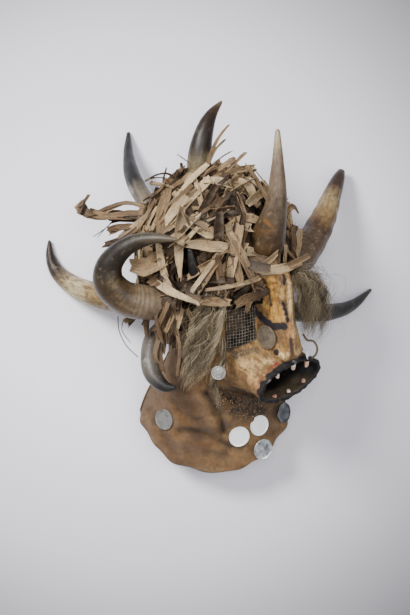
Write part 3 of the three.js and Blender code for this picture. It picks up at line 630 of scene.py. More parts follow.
def mirror_finish(name, light, dark, roughness, marks, metallic=0.9):
    """Silvered glass gone patchy: clean patches, clouded ones, specks and scratches."""
    made = Finish(name, Metallic=metallic, Coat_Weight=0.6, Coat_Roughness=0.05)
    place = made.place()
    cloud = made.noise(place, 70.0, 5, 0.6)
    speck = made.noise(place, 420.0, 4, 0.7)
    body = made.mix(made.span(cloud, 0.45, 0.65), light, dark)
    body = made.mix(made.span(speck, 0.6, 0.68, 0.0, marks), body, tone(70, 66, 60))
    made.colour(body)
    made.rough(made.span(cloud, 0.35, 0.65, roughness, roughness + 0.14))
    made.relief(speck, 0.0002, 0.3)
    return made.material


def metal_finish(name, light, dark, roughness, metallic):
    """Dull beaten metal with rust and dirt in its hollows."""
    made = Finish(name, Metallic=metallic)
    place = made.place()
    patch = made.noise(place, 85.0, 6, 0.65)
    fine = made.noise(place, 420.0, 4, 0.7)
    body = made.mix(made.span(patch, 0.38, 0.64), light, dark)
    body = made.mix(made.span(fine, 0.58, 0.7, 0.0, 0.5), body, tone(92, 66, 44))
    made.colour(body)
    made.rough(made.span(patch, 0.3, 0.7, roughness, min(1.0, roughness + 0.3)))
    made.relief(made.sum(patch, made.times(fine, 0.3)), 0.0008, 0.5)
    return made.material


def glass_finish():
    """Clear glass, almost without a tint."""
    made = Finish("clear_glass", Roughness=0.05, IOR=1.5, Transmission_Weight=0.85)
    made.shader.inputs["Base Color"].default_value = (0.93, 0.94, 0.93, 1)
    return made.material


def hair_finish():
    """Coarse goat hair, grey and beige, a little glossy, its shade changing by strand."""
    made = Finish("goat_hair", Roughness=0.5, Specular_IOR_Level=0.35)
    body = made.bands(
        made.number("shade"),
        [
            (0.0, tone(34, 28, 21)),
            (0.35, tone(84, 72, 54)),
            (0.7, tone(140, 124, 96)),
            (1.0, tone(206, 192, 160)),
        ],
    )
    streak = made.noise(made.place(), 45.0, 4, 0.6)
    body = made.mix(made.span(streak, 0.52, 0.7, 0.0, 0.4), body, tone(70, 58, 42))
    made.colour(body)
    made.relief(streak, 0.0004, 0.3)
    return made.material


def tooth_finish():
    """Old tooth: pale, with reddish brown stains."""
    made = Finish("tooth_peg", Roughness=0.45, Coat_Weight=0.2)
    place = made.place()
    body = made.bands(
        made.noise(place, 110.0, 4, 0.6),
        [(0.34, tone(150, 92, 78)), (0.5, tone(214, 178, 152)), (0.7, tone(240, 224, 200))],
    )
    made.colour(body)
    made.relief(made.noise(place, 320.0, 3), 0.0005, 0.4)
    return made.material


# Horns

# A horn's height to its width, the faces round it, and the length of a face in mm.
HORN_FLATNESS = 0.93
HORN_CORNERS = 30
HORN_PITCH = 2.0
# Shares of a horn's length: where its rings end, and where its tip starts to close.
RINGED_SHARE = 0.6
TIP_SHARE = 0.985

# Each horn: its route (x, y, z, radius) in mm, its bands of colour, its mottles, a stain at a pixel of
# the photograph with its reach in pixels (on the jaw horn a painted glint), its speckle and rings, and
# whether it rests on the floor.
HORNS = {
    "horn_crown": dict(
        route=[(-10, 221, 178, 27), (-12, 284, 188, 26), (-4, 341, 195, 21.5), (12, 383, 193, 13),
               (34, 412, 188, 2.5)],
        stops=[(0.0, tone(90, 72, 50)), (0.16, tone(108, 90, 62)), (0.27, tone(136, 120, 86)),
               (0.33, tone(90, 74, 50)), (0.4, tone(42, 29, 19)), (0.74, tone(50, 32, 18)),
               (0.88, tone(92, 72, 48)), (1.0, tone(140, 124, 96))],
        mottle=tone(34, 23, 14),
        stain=(208, 158, 6, tone(150, 146, 100)),
    ),
    "horn_rear": dict(
        route=[(-100, 180, 150, 20), (-146, 262, 96, 19), (-160, 319, 46, 12), (-162, 371, 8, 4)],
        stops=[(0.0, tone(120, 106, 88)), (0.16, tone(150, 134, 114)), (0.24, tone(108, 98, 86)),
               (0.3, tone(48, 46, 47)), (0.6, tone(34, 34, 38)), (1.0, tone(28, 28, 30))],
        mottle=tone(30, 30, 32),
        stain=(131, 190, 4, tone(190, 182, 168)),
        speckle=0.2,
        rests=True,
    ),
    "horn_far_right": dict(
        route=[(-70, 10, 140, 32), (-150, 16, 108, 32), (-215, 24, 76, 29), (-268, 42, 44, 24),
               (-310, 74, 22, 17), (-326, 107, 14, 11), (-329, 143, 12, 3)],
        stops=[(0.0, tone(130, 106, 70)), (0.34, tone(196, 166, 110)), (0.44, tone(240, 220, 172)),
               (0.53, tone(232, 210, 160)), (0.59, tone(160, 142, 108)), (0.66, tone(38, 33, 27)),
               (1.0, tone(28, 25, 22))],
        mottle=tone(88, 58, 26),
        stain=(98, 303, 12, tone(112, 82, 42)),
        speckle=0.8,
        rests=True,
    ),
    "horn_great": dict(
        route=[(-50, 18, 186, 36), (-114, 10, 224, 37), (-160, 20, 242, 36), (-188, 52, 258, 32),
               (-184, 84, 271, 26.5), (-160, 111, 288, 20.5), (-129, 127, 304, 15.5),
               (-92, 132, 322, 10.5), (-50, 128, 340, 2.5)],
        stops=[(0.0, tone(162, 140, 110)), (0.17, tone(152, 130, 102)), (0.24, tone(120, 98, 72)),
               (0.31, tone(84, 66, 44)), (0.4, tone(66, 54, 36)), (0.47, tone(46, 36, 24)),
               (0.62, tone(38, 30, 20)), (0.76, tone(56, 48, 34)), (0.88, tone(92, 80, 60)),
               (1.0, tone(124, 110, 88))],
        mottle=tone(34, 26, 18),
        stain=(112, 284, 12, tone(120, 100, 56)),
        ring_depth=0.5,
    ),
    "horn_brow": dict(
        route=[(85, 90, 222, 37), (112, 113, 264, 40), (127, 156, 298, 32), (136, 200, 322, 22),
               (138, 270, 340, 13), (137, 338, 347, 4.5)],
        stops=[(0.0, tone(96, 68, 38)), (0.24, tone(96, 70, 40)), (0.38, tone(94, 70, 44)),
               (0.47, tone(98, 80, 58)), (0.57, tone(120, 100, 76)), (0.7, tone(144, 120, 94)),
               (0.8, tone(140, 116, 94)), (0.86, tone(172, 148, 112)), (0.94, tone(208, 188, 148)),
               (1.0, tone(214, 196, 154))],
        mottle=tone(48, 36, 24),
        stain=(270, 224, 12, tone(150, 102, 50)),
        speckle=0.55,
    ),
    "horn_ringed": dict(
        route=[(150, 60, 175, 34), (205, 116, 124, 34), (244, 182, 82, 28.5), (267, 239, 48, 20),
               (281, 272, 28, 14), (288, 288, 18, 8)],
        stops=[(0.0, tone(128, 110, 90)), (0.25, tone(120, 102, 82)), (0.31, tone(84, 66, 48)),
               (0.37, tone(156, 126, 80)), (0.44, tone(184, 158, 106)), (0.52, tone(188, 166, 118)),
               (0.58, tone(138, 118, 84)), (0.65, tone(56, 42, 31)), (0.85, tone(44, 34, 27)),
               (1.0, tone(84, 74, 66))],
        mottle=tone(84, 52, 30),
        stain=(310, 214, 11, tone(126, 68, 30)),
        speckle=0.7,
        rings=7,
        ring_depth=0.4,
    ),
    "horn_low_left": dict(
        route=[(120, -8, 150, 22), (215, -9, 112, 21), (262, -9, 83, 18), (308, 5, 46, 12.5),
               (353, 39, 6, 3)],
        stops=[(0.0, tone(112, 100, 84)), (0.36, tone(102, 94, 84)), (0.46, tone(70, 67, 64)),
               (0.6, tone(44, 42, 41)), (0.82, tone(40, 37, 35)), (0.93, tone(60, 58, 52)),
               (1.0, tone(88, 86, 78))],
        mottle=tone(34, 32, 30),
        stain=(318, 305, 6, tone(120, 112, 98)),
        rests=True,
    ),
    "horn_jaw": dict(
        route=[(-66, -28, 150, 19), (-103, -62, 166, 19.5), (-110, -104, 183, 20),
               (-102, -136, 197, 18), (-80, -156, 208, 12.5), (-57, -159, 214, 4)],
        stops=[(0.0, tone(104, 96, 84)), (0.3, tone(120, 112, 100)), (0.55, tone(110, 102, 92)),
               (0.68, tone(78, 73, 68)), (0.78, tone(42, 40, 38)), (1.0, tone(50, 48, 44))],
        mottle=tone(50, 46, 42),
        # Its pale stain is a painted glint on the horn's left edge.
        stain=(147, 362, 4, tone(196, 190, 180)),
    ),
    "horn_temple": dict(
        route=[(-2, 22, 236, 15), (-19, 68, 298, 13.5), (-29, 112, 328, 4.5)],
        stops=[(0.0, tone(24, 22, 20)), (0.6, tone(20, 20, 19)), (1.0, tone(40, 37, 32))],
        mottle=tone(12, 12, 12),
        stain=(191, 255, 3, tone(56, 58, 54)),
        speckle=0.2,
    ),
}


def make_horn(name, route, stops, mottle, stain, rings=0, ring_depth=0.0, speckle=0.35, rests=False):
    """A plane primitive rolled into a horn along its route, its root and tip closed."""
    spots = np.array(route, float)
    dense = curve_points(spots[:, :3], np.linspace(0, 1, 120))
    length = np.linalg.norm(np.diff(dense, axis=0), axis=1).sum()
    steps = int(length / HORN_PITCH)
    piece, around, along = grid(f"{name}_body", HORN_CORNERS, steps)
    stations = np.linspace(0, 1, steps + 1)
    middle = curve_points(spots[:, :3], stations)
    girth = curve_points(
        np.stack([spots[:, 3], np.arange(len(spots)) * 10.0, np.zeros(len(spots))], axis=1), stations
    )[:, 0]
    _, side, over = carried_frames(middle, (0, 0, 1))
    row = np.rint(along * steps).astype(int)
    angle = 2 * math.pi * np.rint(around * HORN_CORNERS) / HORN_CORNERS
    share = stations[row]
    distance = share * length
    # Growth rings swell the lower part; the whole is a little uneven.
    ringed = smooth(share, 0.42, 0.2)
    ring = np.zeros_like(share)
    if rings:
        wave = np.cos(math.pi * share * 2 * rings / RINGED_SHARE + 0.35 * np.sin(angle))
        crest = 0.6 * np.sign(wave) * np.abs(wave) ** 0.7
        ring = crest * smooth(share, RINGED_SHARE, RINGED_SHARE - 0.1)
    wander = 0.4 * np.sin(angle * 2 + distance * 0.03)
    ring += ring_depth * 0.55 * np.sin(distance * 0.9 + wander * 3) * ringed
    ring += 0.28 * np.sin(distance * 1.7 + 2 * wander) * ringed
    turn = np.stack([np.cos(angle), np.sin(angle)], axis=1)
    uneven = waves(np.column_stack([turn * 14, distance * 0.35]), 16.0, len(name) * 7)
    radius = girth[row] + ring + 0.02 * girth[row] * uneven
    closing = smooth(share, 1.0, TIP_SHARE)
    radius *= np.where(share > TIP_SHARE, np.sqrt(closing), 1)
    radius = np.where((row == 0) | (row == steps), 0.0, radius)
    points = middle[row] + side[row] * (radius * turn[:, 0])[:, None]
    points += over[row] * (radius * HORN_FLATNESS * turn[:, 1])[:, None]
    if rests:
        points[:, 2] -= points[:, 2].min()
    place_points(piece, to_row(points))
    note(piece, "along", share)
    stain_x, stain_y, reach, stain_colour = stain
    across, down = pixels(points)
    gap = np.hypot(across - stain_x, (down - stain_y) * 0.8) + 1.6 * uneven
    note(piece, "stain", smooth(gap, reach, reach * 0.35) * (points[:, 2] > middle[row][:, 2]))
    note_place(piece, "fibre", np.column_stack([turn * 0.8, distance * 0.011]))
    close_up(piece)
    shade(piece)
    look = horn_finish(
        f"{name}_finish", stops, mottle, stain_colour, ring_depth + 0.2 * (rings > 0), speckle
    )
    finish(piece, look, "horn", name)


for name, facts in HORNS.items():
    make_horn(name, **facts)


# Carved face and teeth

OCHRE = np.array(tone(160, 124, 76))
YELLOW_PAINT = np.array(tone(178, 130, 58))
PALE_PAINT = np.array(tone(222, 190, 134))
ORANGE_PAINT = np.array(tone(196, 138, 84))
BLACK_PAINT = np.array(tone(18, 17, 20))
PURPLE_BLACK = np.array(tone(22, 18, 25))
PURPLE_PAINT = np.array(tone(52, 38, 58))
RED_PAINT = np.array(tone(132, 38, 36))
GREY_LEAD = np.array(tone(74, 70, 64))
SHADE_BROWN = np.array(tone(98, 68, 40))
NICK_GREY = np.array(tone(128, 126, 122))
INSIDE_WOOD = np.array(tone(26, 20, 16))
MOUTH_FLOOR = np.array(tone(92, 80, 64))
# The rim of the mouth on the head, in mm: the reach and level of its middle, its lean forward for
# each mm up, and its half width and half height.
MOUTH_REACH = 191
MOUTH_LEVEL = -216
MOUTH_LEAN = 0.26
MOUTH_HALF = 93
MOUTH_RISE = 43
# Sections of the muzzle: reach, level, half width and half height.
MUZZLE_SECTIONS = [
    (60, -176, 86, 76), (118, -194, 82, 60), (160, -206, 80, 46), (183, -213, 90, 43),
]
# Each eye hole: its top and bottom, and its inner and outer edge as (left, forward).
EYE_TOP = -34
EYE_BOTTOM = -144
EYE_IN = (24, 124)
EYE_OUT = (84, 100)
FACE_VOXEL = 0.0022

# Patches of paint in the order they are laid: pixels of the photograph, width and softness in mm,
# strength and paint. The brown patches under the jaw are painted shade.
PATCHES = [
    ([(268, 280), (270, 300), (277, 318)], 34, 4, 0.85, YELLOW_PAINT),
    ([(289, 282), (292, 318), (294, 336)], 10, 3, 0.8, PALE_PAINT),
    ([(286, 341), (286, 354)], 9, 2, 0.9, YELLOW_PAINT),
    ([(264, 362), (282, 356), (300, 351)], 16, 5, 0.8, PALE_PAINT),
    ([(240, 361), (252, 370), (262, 366)], 18, 9, 0.22, PALE_PAINT),
    # Painted shade under the jaw.
    ([(205, 384), (224, 390), (244, 398)], 26, 10, 0.8, SHADE_BROWN * 0.7),
    ([(244, 380), (250, 392)], 16, 8, 0.4, SHADE_BROWN),
    ([(258, 328), (272, 338), (282, 340)], 20, 8, 0.55, SHADE_BROWN),
    ([(289, 324), (290, 335)], 13, 3, 0.9, ORANGE_PAINT),
]
# Other marks, as pixels, width and softness: the dark lines under and between the eyes, a purple
# one, a band of lead, the burnt hole of the nostril, red scrawls, and nicks in the lip.
DARK_LINES = [
    ([(251, 303), (257, 313), (266, 322), (275, 327), (284, 326)], 16, 2.0),
    ([(284, 276), (284, 284)], 8, 1.5),
    ([(283, 303), (286, 312), (288, 321)], 8, 1.5),
]
PURPLE_LINE = ([(291, 340), (292, 354)], 9, 1.5)
LEAD_LINE = ([(222, 349), (236, 355), (256, 350)], 17, 4)
NOSTRIL = ([(275.5, 352.5), (276.5, 352.5)], 12, 1.2)
RED_SCRAWLS = [
    ([(299, 346), (306, 350), (312, 353)], 3, 1.2),
    ([(296, 356), (304, 354), (310, 357)], 3, 1.2),
]
LIP_NICKS = [
    ([(268, 383), (270, 380)], 4, 1.2),
    ([(272, 380), (275, 377)], 4, 1.2),
    ([(277, 377), (280, 376)], 4, 1.2),
    ([(293, 361), (296, 363)], 4, 1.2),
]


def muzzle_section(forward):
    """The muzzle's level, half width and half height at a reach forward."""
    reach = [section[0] for section in MUZZLE_SECTIONS]
    return [
        np.interp(forward, reach, [section[i] for section in MUZZLE_SECTIONS]) for i in (1, 2, 3)
    ]


def eye_edge():
    """An eye hole's inner edge, its width and its direction outwards, as (left, forward)."""
    inner, outer = np.array(EYE_IN, float), np.array(EYE_OUT, float)
    width = np.linalg.norm(outer - inner)
    return inner, width, (outer - inner) / width


def make_face():
    """The carved face: its CAD shape remade fine, then worked over with a chisel and painted."""
    face = copy_of_node("wood_face", "carved_face")
    remesh = face.modifiers.new("fine", "REMESH")
    remesh.mode = "VOXEL"
    remesh.voxel_size = FACE_VOXEL
    easing = face.modifiers.new("ease", "SMOOTH")
    easing.factor = 0.5
    easing.iterations = 5
    apply_modifiers(face)
    points = coordinates(face)
    out = directions(face)
    local = on_head(points)
    left, forward, up = local.T
    # How far each point is short of the plane of the mouth's rim.
    short = MOUTH_REACH + MOUTH_LEAN * (up - MOUTH_LEVEL) - forward
    muzzle = smooth(up, -120, -150)
    round_muzzle = np.arctan2((up - MOUTH_LEVEL) / MOUTH_RISE, left / MOUTH_HALF)
    from_mouth = np.hypot((up - MOUTH_LEVEL) / MOUTH_RISE, left / MOUTH_HALF)
    # Chisel facets run down the face and along the muzzle.
    grain = np.column_stack([left * 1.0, forward * 0.25, up * 0.16])
    chisel = waves(grain, 9.0, 3) * 0.45 + waves(local * (1, 1, 0.5), 26.0, 4) * 0.8
    jag = waves(np.column_stack([round_muzzle * 30, short * 0.2]), 7.0, 8)
    on_lips = muzzle * smooth(from_mouth, 1.3, 1.12)
    rim = on_lips * smooth(short, 16, 0)
    inside = muzzle * smooth(short, 0, 6) * smooth(from_mouth, 1.0, 0.9)
    moved = out * (chisel * (0.9 - 0.75 * inside))[:, None] + FORWARD * (rim * jag * 0.9)[:, None]
    place_points(face, points + moved * MM)

    tree = BVHTree.FromObject(face, bpy.context.evaluated_depsgraph_get())
    eye = Vector(camera.location)

    def spot(px, py):
        """The point of the face that shows at a pixel of the photograph."""
        aim = Vector(to_row(seen(px, py, FOCUS_HEIGHT))) - eye
        hit = tree.ray_cast(eye, aim.normalized())[0]
        return None if hit is None else np.array(hit)

    def stroke(line_pixels, width, soft):
        """How much of a painted line of this width, in mm, is at each point."""
        line = [s for s in (spot(*p) for p in line_pixels) if s is not None]
        uneven = 1.1 * waves(local, 7.0, 21) + 0.6 * waves(local, 3.5, 22)
        return smooth(gap_to(points, line) / MM + uneven, width / 2 + soft, width / 2 - soft)

    def strokes(lines):
        return np.maximum.reduce([stroke(*line) for line in lines])

    colour = np.tile(OCHRE, (len(points), 1))

    def lay(amount, paint):
        """Lays a paint over the colour, as thick as the amount says."""
        nonlocal colour
        colour = colour + (np.asarray(paint) - colour) * np.clip(amount, 0, 1)[:, None]

    lay(smooth(waves(local, 44.0, 12), -0.2, 0.9) * 0.65, SHADE_BROWN)
    # Painted shade, low on the face behind the muzzle.
    lay(smooth(forward, 120, 80) * smooth(up, -60, -110) * 0.5, SHADE_BROWN)
    for line, width, soft, strength, paint in PATCHES:
        lay(stroke(line, width, soft) * strength, paint)
    dark = strokes(DARK_LINES)
    lay(dark, PURPLE_BLACK)
    lay(stroke(*PURPLE_LINE), PURPLE_PAINT)
    lay(stroke(*LEAD_LINE) * (0.7 + 0.3 * waves(local, 4.0, 35)), GREY_LEAD)
    nostril = stroke(*NOSTRIL)
    lay(nostril, BLACK_PAINT)
    lips = on_lips * smooth(short + 3.0 * jag, 15, 10)
    # A red line runs round the left and lower part of the lips.
    round_left = np.where(round_muzzle < -math.pi / 2, round_muzzle + 2 * math.pi, round_muzzle)
    red = on_lips * smooth(np.abs(short - 18 + 2 * jag), 5.5, 2.5)
    red *= smooth(round_left, 1.5, 1.9) * smooth(round_left, 3.7, 3.3)
    red *= 0.5 + 0.5 * smooth(waves(local, 10.0, 31), -0.4, 0.4)
    lay(red, RED_PAINT)
    lay(strokes(RED_SCRAWLS) * 0.8, RED_PAINT)
    lay(lips, BLACK_PAINT)
    lay(strokes(LIP_NICKS) * lips, NICK_GREY)
    # The inside of the muzzle is what faces its middle: painted dark as shade, lighter on its lower
    # side.
    level, _, rise = muzzle_section(forward)
    towards = -(out @ LEFT) * left / MOUTH_HALF - (out @ CROWN) * (up - level) / rise
    in_mouth = muzzle * smooth(towards, -0.1, 0.2) * smooth(short, -2, 3)
    in_mouth *= smooth(np.hypot(left / MOUTH_HALF, (up - level) / rise), 1.05, 0.99)
    lay(in_mouth, BLACK_PAINT * 0.6)
    low = in_mouth * smooth((up - MOUTH_LEVEL) / MOUTH_RISE, -0.1, -0.6) * smooth(short, 55, 20)
    lay(low * (0.8 + 0.2 * waves(local, 22.0, 33)), MOUTH_FLOOR)
    # The hollow side and the walls of the eye holes are dark.
    behind = (1 - muzzle) * smooth(out @ FORWARD, 0.0, -0.25)
    lay(behind, INSIDE_WOOD)
    inner, width, way = eye_edge()
    across = (np.abs(left) - inner[0]) * way[0] + (forward - inner[1]) * way[1]
    depth = (np.abs(left) - inner[0]) * -way[1] + (forward - inner[1]) * way[0]
    in_eye = smooth(across, -4, 0) * smooth(across, width + 4, width) * smooth(depth, 2.5, -1.0)
    in_eye *= smooth(up, EYE_BOTTOM - 4, EYE_BOTTOM) * smooth(up, EYE_TOP + 4, EYE_TOP)
    lay(in_eye, BLACK_PAINT)
    dark_paint_and_shade = np.maximum.reduce([dark, lips, in_mouth, behind, in_eye, nostril])
    note(face, "dark_paint_and_shade", np.clip(dark_paint_and_shade, 0, 0.92))
    note_paint(face, "paint", colour)
    note_place(face, "carving", np.column_stack([left * 0.16, forward * 0.06, up * 0.03]))
    shade(face)
    finish(face, paint_finish(), "painted_wood", "wood_face")


make_face()
tooth_look = tooth_finish()
TEETH = 6
# How much of each tooth's length is left: above the mouth's middle, then below it.
PEG_SHARES = (0.66, 0.48)
# How much thicker and how uneven a peg is than its CAD shape, in metres.
PEG_SWELL = 0.0015
PEG_UNEVEN = 0.0004


def make_peg(number):
    """A tooth peg: its CAD shape rounded, its bare end worn short."""
    peg = copy_of_node(f"tooth_{number}", f"peg_{number}")
    rounding = peg.modifiers.new("round", "SUBSURF")
    rounding.levels = rounding.render_levels = 2
    apply_modifiers(peg)
    spots = coordinates(peg)
    centre = spots.mean(axis=0)
    _, _, axes = np.linalg.svd(spots - centre, full_matrices=False)
    along = (spots - centre) @ axes[0]
    local = on_head(spots)
    height = (local[:, 2] - MOUTH_LEVEL) / MOUTH_RISE
    away = np.hypot(local[:, 0] / MOUTH_HALF, height)
    if away[along.argmax()] > away[along.argmin()]:
        along, axes[0] = -along, -axes[0]
    # The root stays where it is and the free end draws back.
    root = along.min()
    share = PEG_SHARES[0] if height.mean() > 0 else PEG_SHARES[1]
    shortened = (along - root) * (share - 1)
    spots = spots + np.outer(shortened, axes[0])
    spots += directions(peg) * (PEG_UNEVEN * waves(spots / MM, 5.0, number) + PEG_SWELL)[:, None]
    place_points(peg, spots)
    shade(peg)
    finish(peg, tooth_look, "tooth", f"tooth_{number}")


for number in range(1, TEETH + 1):
    make_peg(number)


# Eye mesh, in mm

WIRE_PITCH = 6.35
WIRE_RADIUS = 0.62
WIRE_CRIMP = 0.7
WIRE_LEAN = 0.8
MESH_BULGE = 4.0


def in_muzzle(left, forward, up):
    """Whether a point of the head lies inside the muzzle, where the mesh is cut away."""
    level, half, rise = muzzle_section(forward)
    return (left / half) ** 2 + ((up - level) / (rise + 2)) ** 2 < 1


def eye_wires(side):
    """Woven square mesh over one eye, bulged a little, its wires bent over and under."""
    inner, width, way = eye_edge()
    out = np.array((way[1], -way[0]))
    out = out if out[1] > 0 else -out
    height = EYE_TOP - EYE_BOTTOM

    def at(across, down, crimp):
        bulge = MESH_BULGE * math.sin(math.pi * across / width) * math.sin(math.pi * down / height)
        flat = inner + way * across + out * (bulge + crimp + 1.0)
        return side * flat[0], flat[1], EYE_TOP - down

    routes = []

    def wire(spots):
        run = []
        for across, down, crimp in spots:
            place = at(across, down, crimp)
            if not in_muzzle(*place):
                run.append((*to_row(head(*place)), WIRE_RADIUS * MM))
        if len(run) > 3:
            routes.append(run)

    step = WIRE_PITCH / 2
    for i in range(int(width / WIRE_PITCH) + 1):
        lean = chance.uniform(-WIRE_LEAN, WIRE_LEAN)
        wire([
            (min(width - 1, max(1, i * WIRE_PITCH + lean * math.sin(j * 0.3))), j * step,
             WIRE_CRIMP * math.cos(math.pi * (j + 2 * i) / 2))
            for j in range(int(height / step) + 1)
        ])
    for j in range(int(height / WIRE_PITCH) + 1):
        lean = chance.uniform(-WIRE_LEAN, WIRE_LEAN)
        wire([
            (i * step, min(height - 1, max(1, j * WIRE_PITCH + lean * math.sin(i * 0.4))),
             -WIRE_CRIMP * math.cos(math.pi * (i + 2 * j) / 2))
            for i in range(int(width / step) + 1)
        ])
    piece = tubes("eye_wires_right" if side < 0 else "eye_wires_left", routes)
    shade(piece)
    return piece

wire_look = metal_finish("rusty_wire", tone(150, 142, 126), tone(72, 64, 52), 0.5, 0.2)
for side, node in ((-1, "eye_mesh_right"), (1, "eye_mesh_left")):
    finish(eye_wires(side), wire_look, "dull_metal", node)


# Discs and mirrors

DISC_CORNERS = 64
# Shares of a disc's rim: its flat edge and its slope, and of its thickness: the step down.
RIM_EDGE, RIM_SLOPE, RIM_STEP = 0.4, 0.5, 0.22
DOME_RINGS = 5
# A chip: how far round it reaches, from its end to its full depth, in radians, and its depth.
CHIP_ENDS = (0.32, 0.12)
CHIP_DEPTH = 0.16
DISC_BEND = 0.00025


def disc_facts(node):
    """Middle, outward direction, radius and thickness of a round CAD disc."""
    points = np.array([v.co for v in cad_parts[node].data.vertices], float)
    middle = points.mean(axis=0)
    away = points - middle
    _, _, axes = np.linalg.svd(away, full_matrices=False)
    normal = axes[2] if axes[2][2] > 0 else -axes[2]
    depth = (points @ normal).max() - (points @ normal).min()
    radius = float(np.linalg.norm(away - np.outer(away @ normal, normal), axis=1).max())
    return Vector(middle), Vector(normal), radius, depth


def make_disc(node, name, look, slot, rim, dome=0.0, chip=None):
    """A round plate from a cylinder primitive, its edge bevelled and its face set in a rim."""
    middle, normal, radius, depth = disc_facts(node)
    pick(camera)
    bpy.ops.mesh.primitive_cylinder_add(
        vertices=DISC_CORNERS, radius=radius, depth=depth, end_fill_type="NGON"
    )
    disc = bpy.context.object
    disc.name = disc.data.name = name
    bpy.ops.object.mode_set(mode="EDIT")
    bpy.ops.mesh.select_mode(type="FACE")
    bpy.ops.mesh.select_all(action="DESELECT")
    bpy.ops.object.mode_set(mode="OBJECT")
    for plate_face in disc.data.polygons:
        plate_face.select = plate_face.normal.z > 0.9
    bpy.ops.object.mode_set(mode="EDIT")
    bpy.ops.mesh.inset(thickness=radius * rim * RIM_EDGE, depth=0)
    bpy.ops.mesh.inset(thickness=radius * rim * RIM_SLOPE, depth=-depth * RIM_STEP)
    for ring in range(DOME_RINGS):
        bpy.ops.mesh.inset(thickness=radius * 0.15, depth=dome * depth * (0.5 - ring * 0.09))
    bpy.ops.mesh.poke()
    bpy.ops.object.mode_set(mode="OBJECT")
    edge = disc.modifiers.new("edge", "BEVEL")
    edge.width = min(depth, radius) * 0.16
    edge.segments = 2
    edge.limit_method = "ANGLE"
    edge.angle_limit = math.radians(50)
    apply_modifiers(disc)
    spots = coordinates(disc)
    if chip:
        # A bite out of the edge, at this angle.
        angle = np.arctan2(spots[:, 1], spots[:, 0])
        gone = smooth(np.abs(np.angle(np.exp(1j * (angle - chip)))), *CHIP_ENDS)
        outer = smooth(np.hypot(spots[:, 0], spots[:, 1]), radius * 0.6, radius)
        spots[:, :2] *= (1 - CHIP_DEPTH * gone * outer)[:, None]
    spots[:, 2] += waves(spots[:, :2] / MM, 30.0, len(name)) * DISC_BEND
    place_points(disc, spots)
    disc.rotation_mode = "QUATERNION"
    disc.rotation_quaternion = Vector((0, 0, 1)).rotation_difference(normal)
    disc.location = middle
    bpy.ops.object.transform_apply(location=True, rotation=True, scale=True)
    shade(disc, 35)
    finish(disc, look, slot, node)


grey_mirror = mirror_finish("clouded_mirror", tone(176, 174, 168), tone(126, 122, 114), 0.3, 0.6)
# Painted reflection: a white, barely metallic face gives these mirrors the brightness they reflect.
mirror_painted_white = mirror_finish("mirror_painted_bright_reflection", (1.0, 1.0, 1.0), tone(250, 250, 248), 0.3, 0.15, 0.25)
dark_mirror = mirror_finish("dark_mirror", tone(96, 102, 104), tone(52, 55, 56), 0.22, 0.5)
half_mirror = mirror_finish("half_clouded_mirror", tone(236, 238, 238), tone(120, 124, 124), 0.16, 0.5)
worn_plate = metal_finish("worn_plate", tone(138, 124, 104), tone(92, 82, 70), 0.34, 0.55)
make_disc("nose_disc", "nose_plate", worn_plate, "dull_metal", rim=0.22, dome=0.3)
make_disc("mirror_right", "hood_mirror_right", grey_mirror, "mirror", rim=0.16)
make_disc("mirror_middle", "hood_mirror_middle", mirror_painted_white, "mirror", rim=0.1)
make_disc("mirror_upper", "hood_mirror_upper", mirror_painted_white, "mirror", rim=0.1, chip=2.5)
make_disc("mirror_hem", "hood_mirror_hem", half_mirror, "mirror", rim=0.1)
make_disc("mirror_dark", "hood_mirror_dark", dark_mirror, "dark_mirror", rim=0.12)
make_disc("lip_mirror", "lip_glint", mirror_painted_white, "mirror", rim=0.14)
make_disc("glass_disc", "hair_glass", glass_finish(), "glass", rim=0.2, dome=0.6)


# Cloth hood

# Its faces round and along, the repeats of its weave both ways, and its shape in mm.
HOOD_FACES = (200, 110)
HOOD_WEAVE = (9.0, 3.6)
HOOD_NECK_X, HOOD_CENTRE_X = 30, 17
HOOD_NECK_HALF, HOOD_HALF = 90, 156
HOOD_NECK_Y, HOOD_HEM_Y, HOOD_HEM_DROP = 15, -214, 126
HOOD_NECK_HEIGHT, HOOD_HEM_HEIGHT = 232, 84
HOOD_WALL = 3.2
GATHERS, GATHER_HEIGHT = 17, 4.0
# The cloth lies flat from a mirror's middle to the first reach, and is free from the second on,
# in mm.
FLAT_REACHES = (22, 40)
HOOD_DISCS = ["mirror_right", "mirror_middle", "mirror_upper", "mirror_hem", "mirror_dark"]
FOLD_HEIGHT = 150
# Folds of the cloth: a line of pixels of the photograph, half width and height in mm.
HOOD_FOLDS = [
    ([(207, 394), (214, 405), (221, 417), (224, 432)], 9, -18),
    ([(200, 398), (209, 411), (215, 424), (220, 438)], 10, 10),
    ([(232, 412), (228, 426), (232, 436)], 10, 6),
    ([(180, 434), (200, 433), (213, 438), (232, 448)], 9, -11),
    ([(184, 446), (205, 445), (222, 454)], 11, 7),
    ([(213, 388), (232, 392), (252, 396)], 7, -12),
    ([(150, 412), (163, 438), (176, 458)], 9, -6),
    ([(160, 396), (172, 418), (182, 430)], 12, 5),
    ([(178, 410), (184, 417), (196, 421), (206, 417)], 4, -3),
    ([(262, 430), (270, 436), (276, 432)], 8, -7),
]
# Where the hem's right end sticks out, with its width and how far it does.
HOOD_CORNER = [(286, 428), (286, 431)]
CORNER_WIDTH, CORNER_OUT = 20, 9
# Dark, speckled places, the first two painted shade under the jaw: a line of pixels and its half width
# in mm.
HOOD_SHADE = [
    ([(224, 398), (240, 402), (256, 404)], 22),
    ([(236, 408), (252, 416), (262, 412)], 20),
    ([(228, 446), (242, 447)], 9),
]


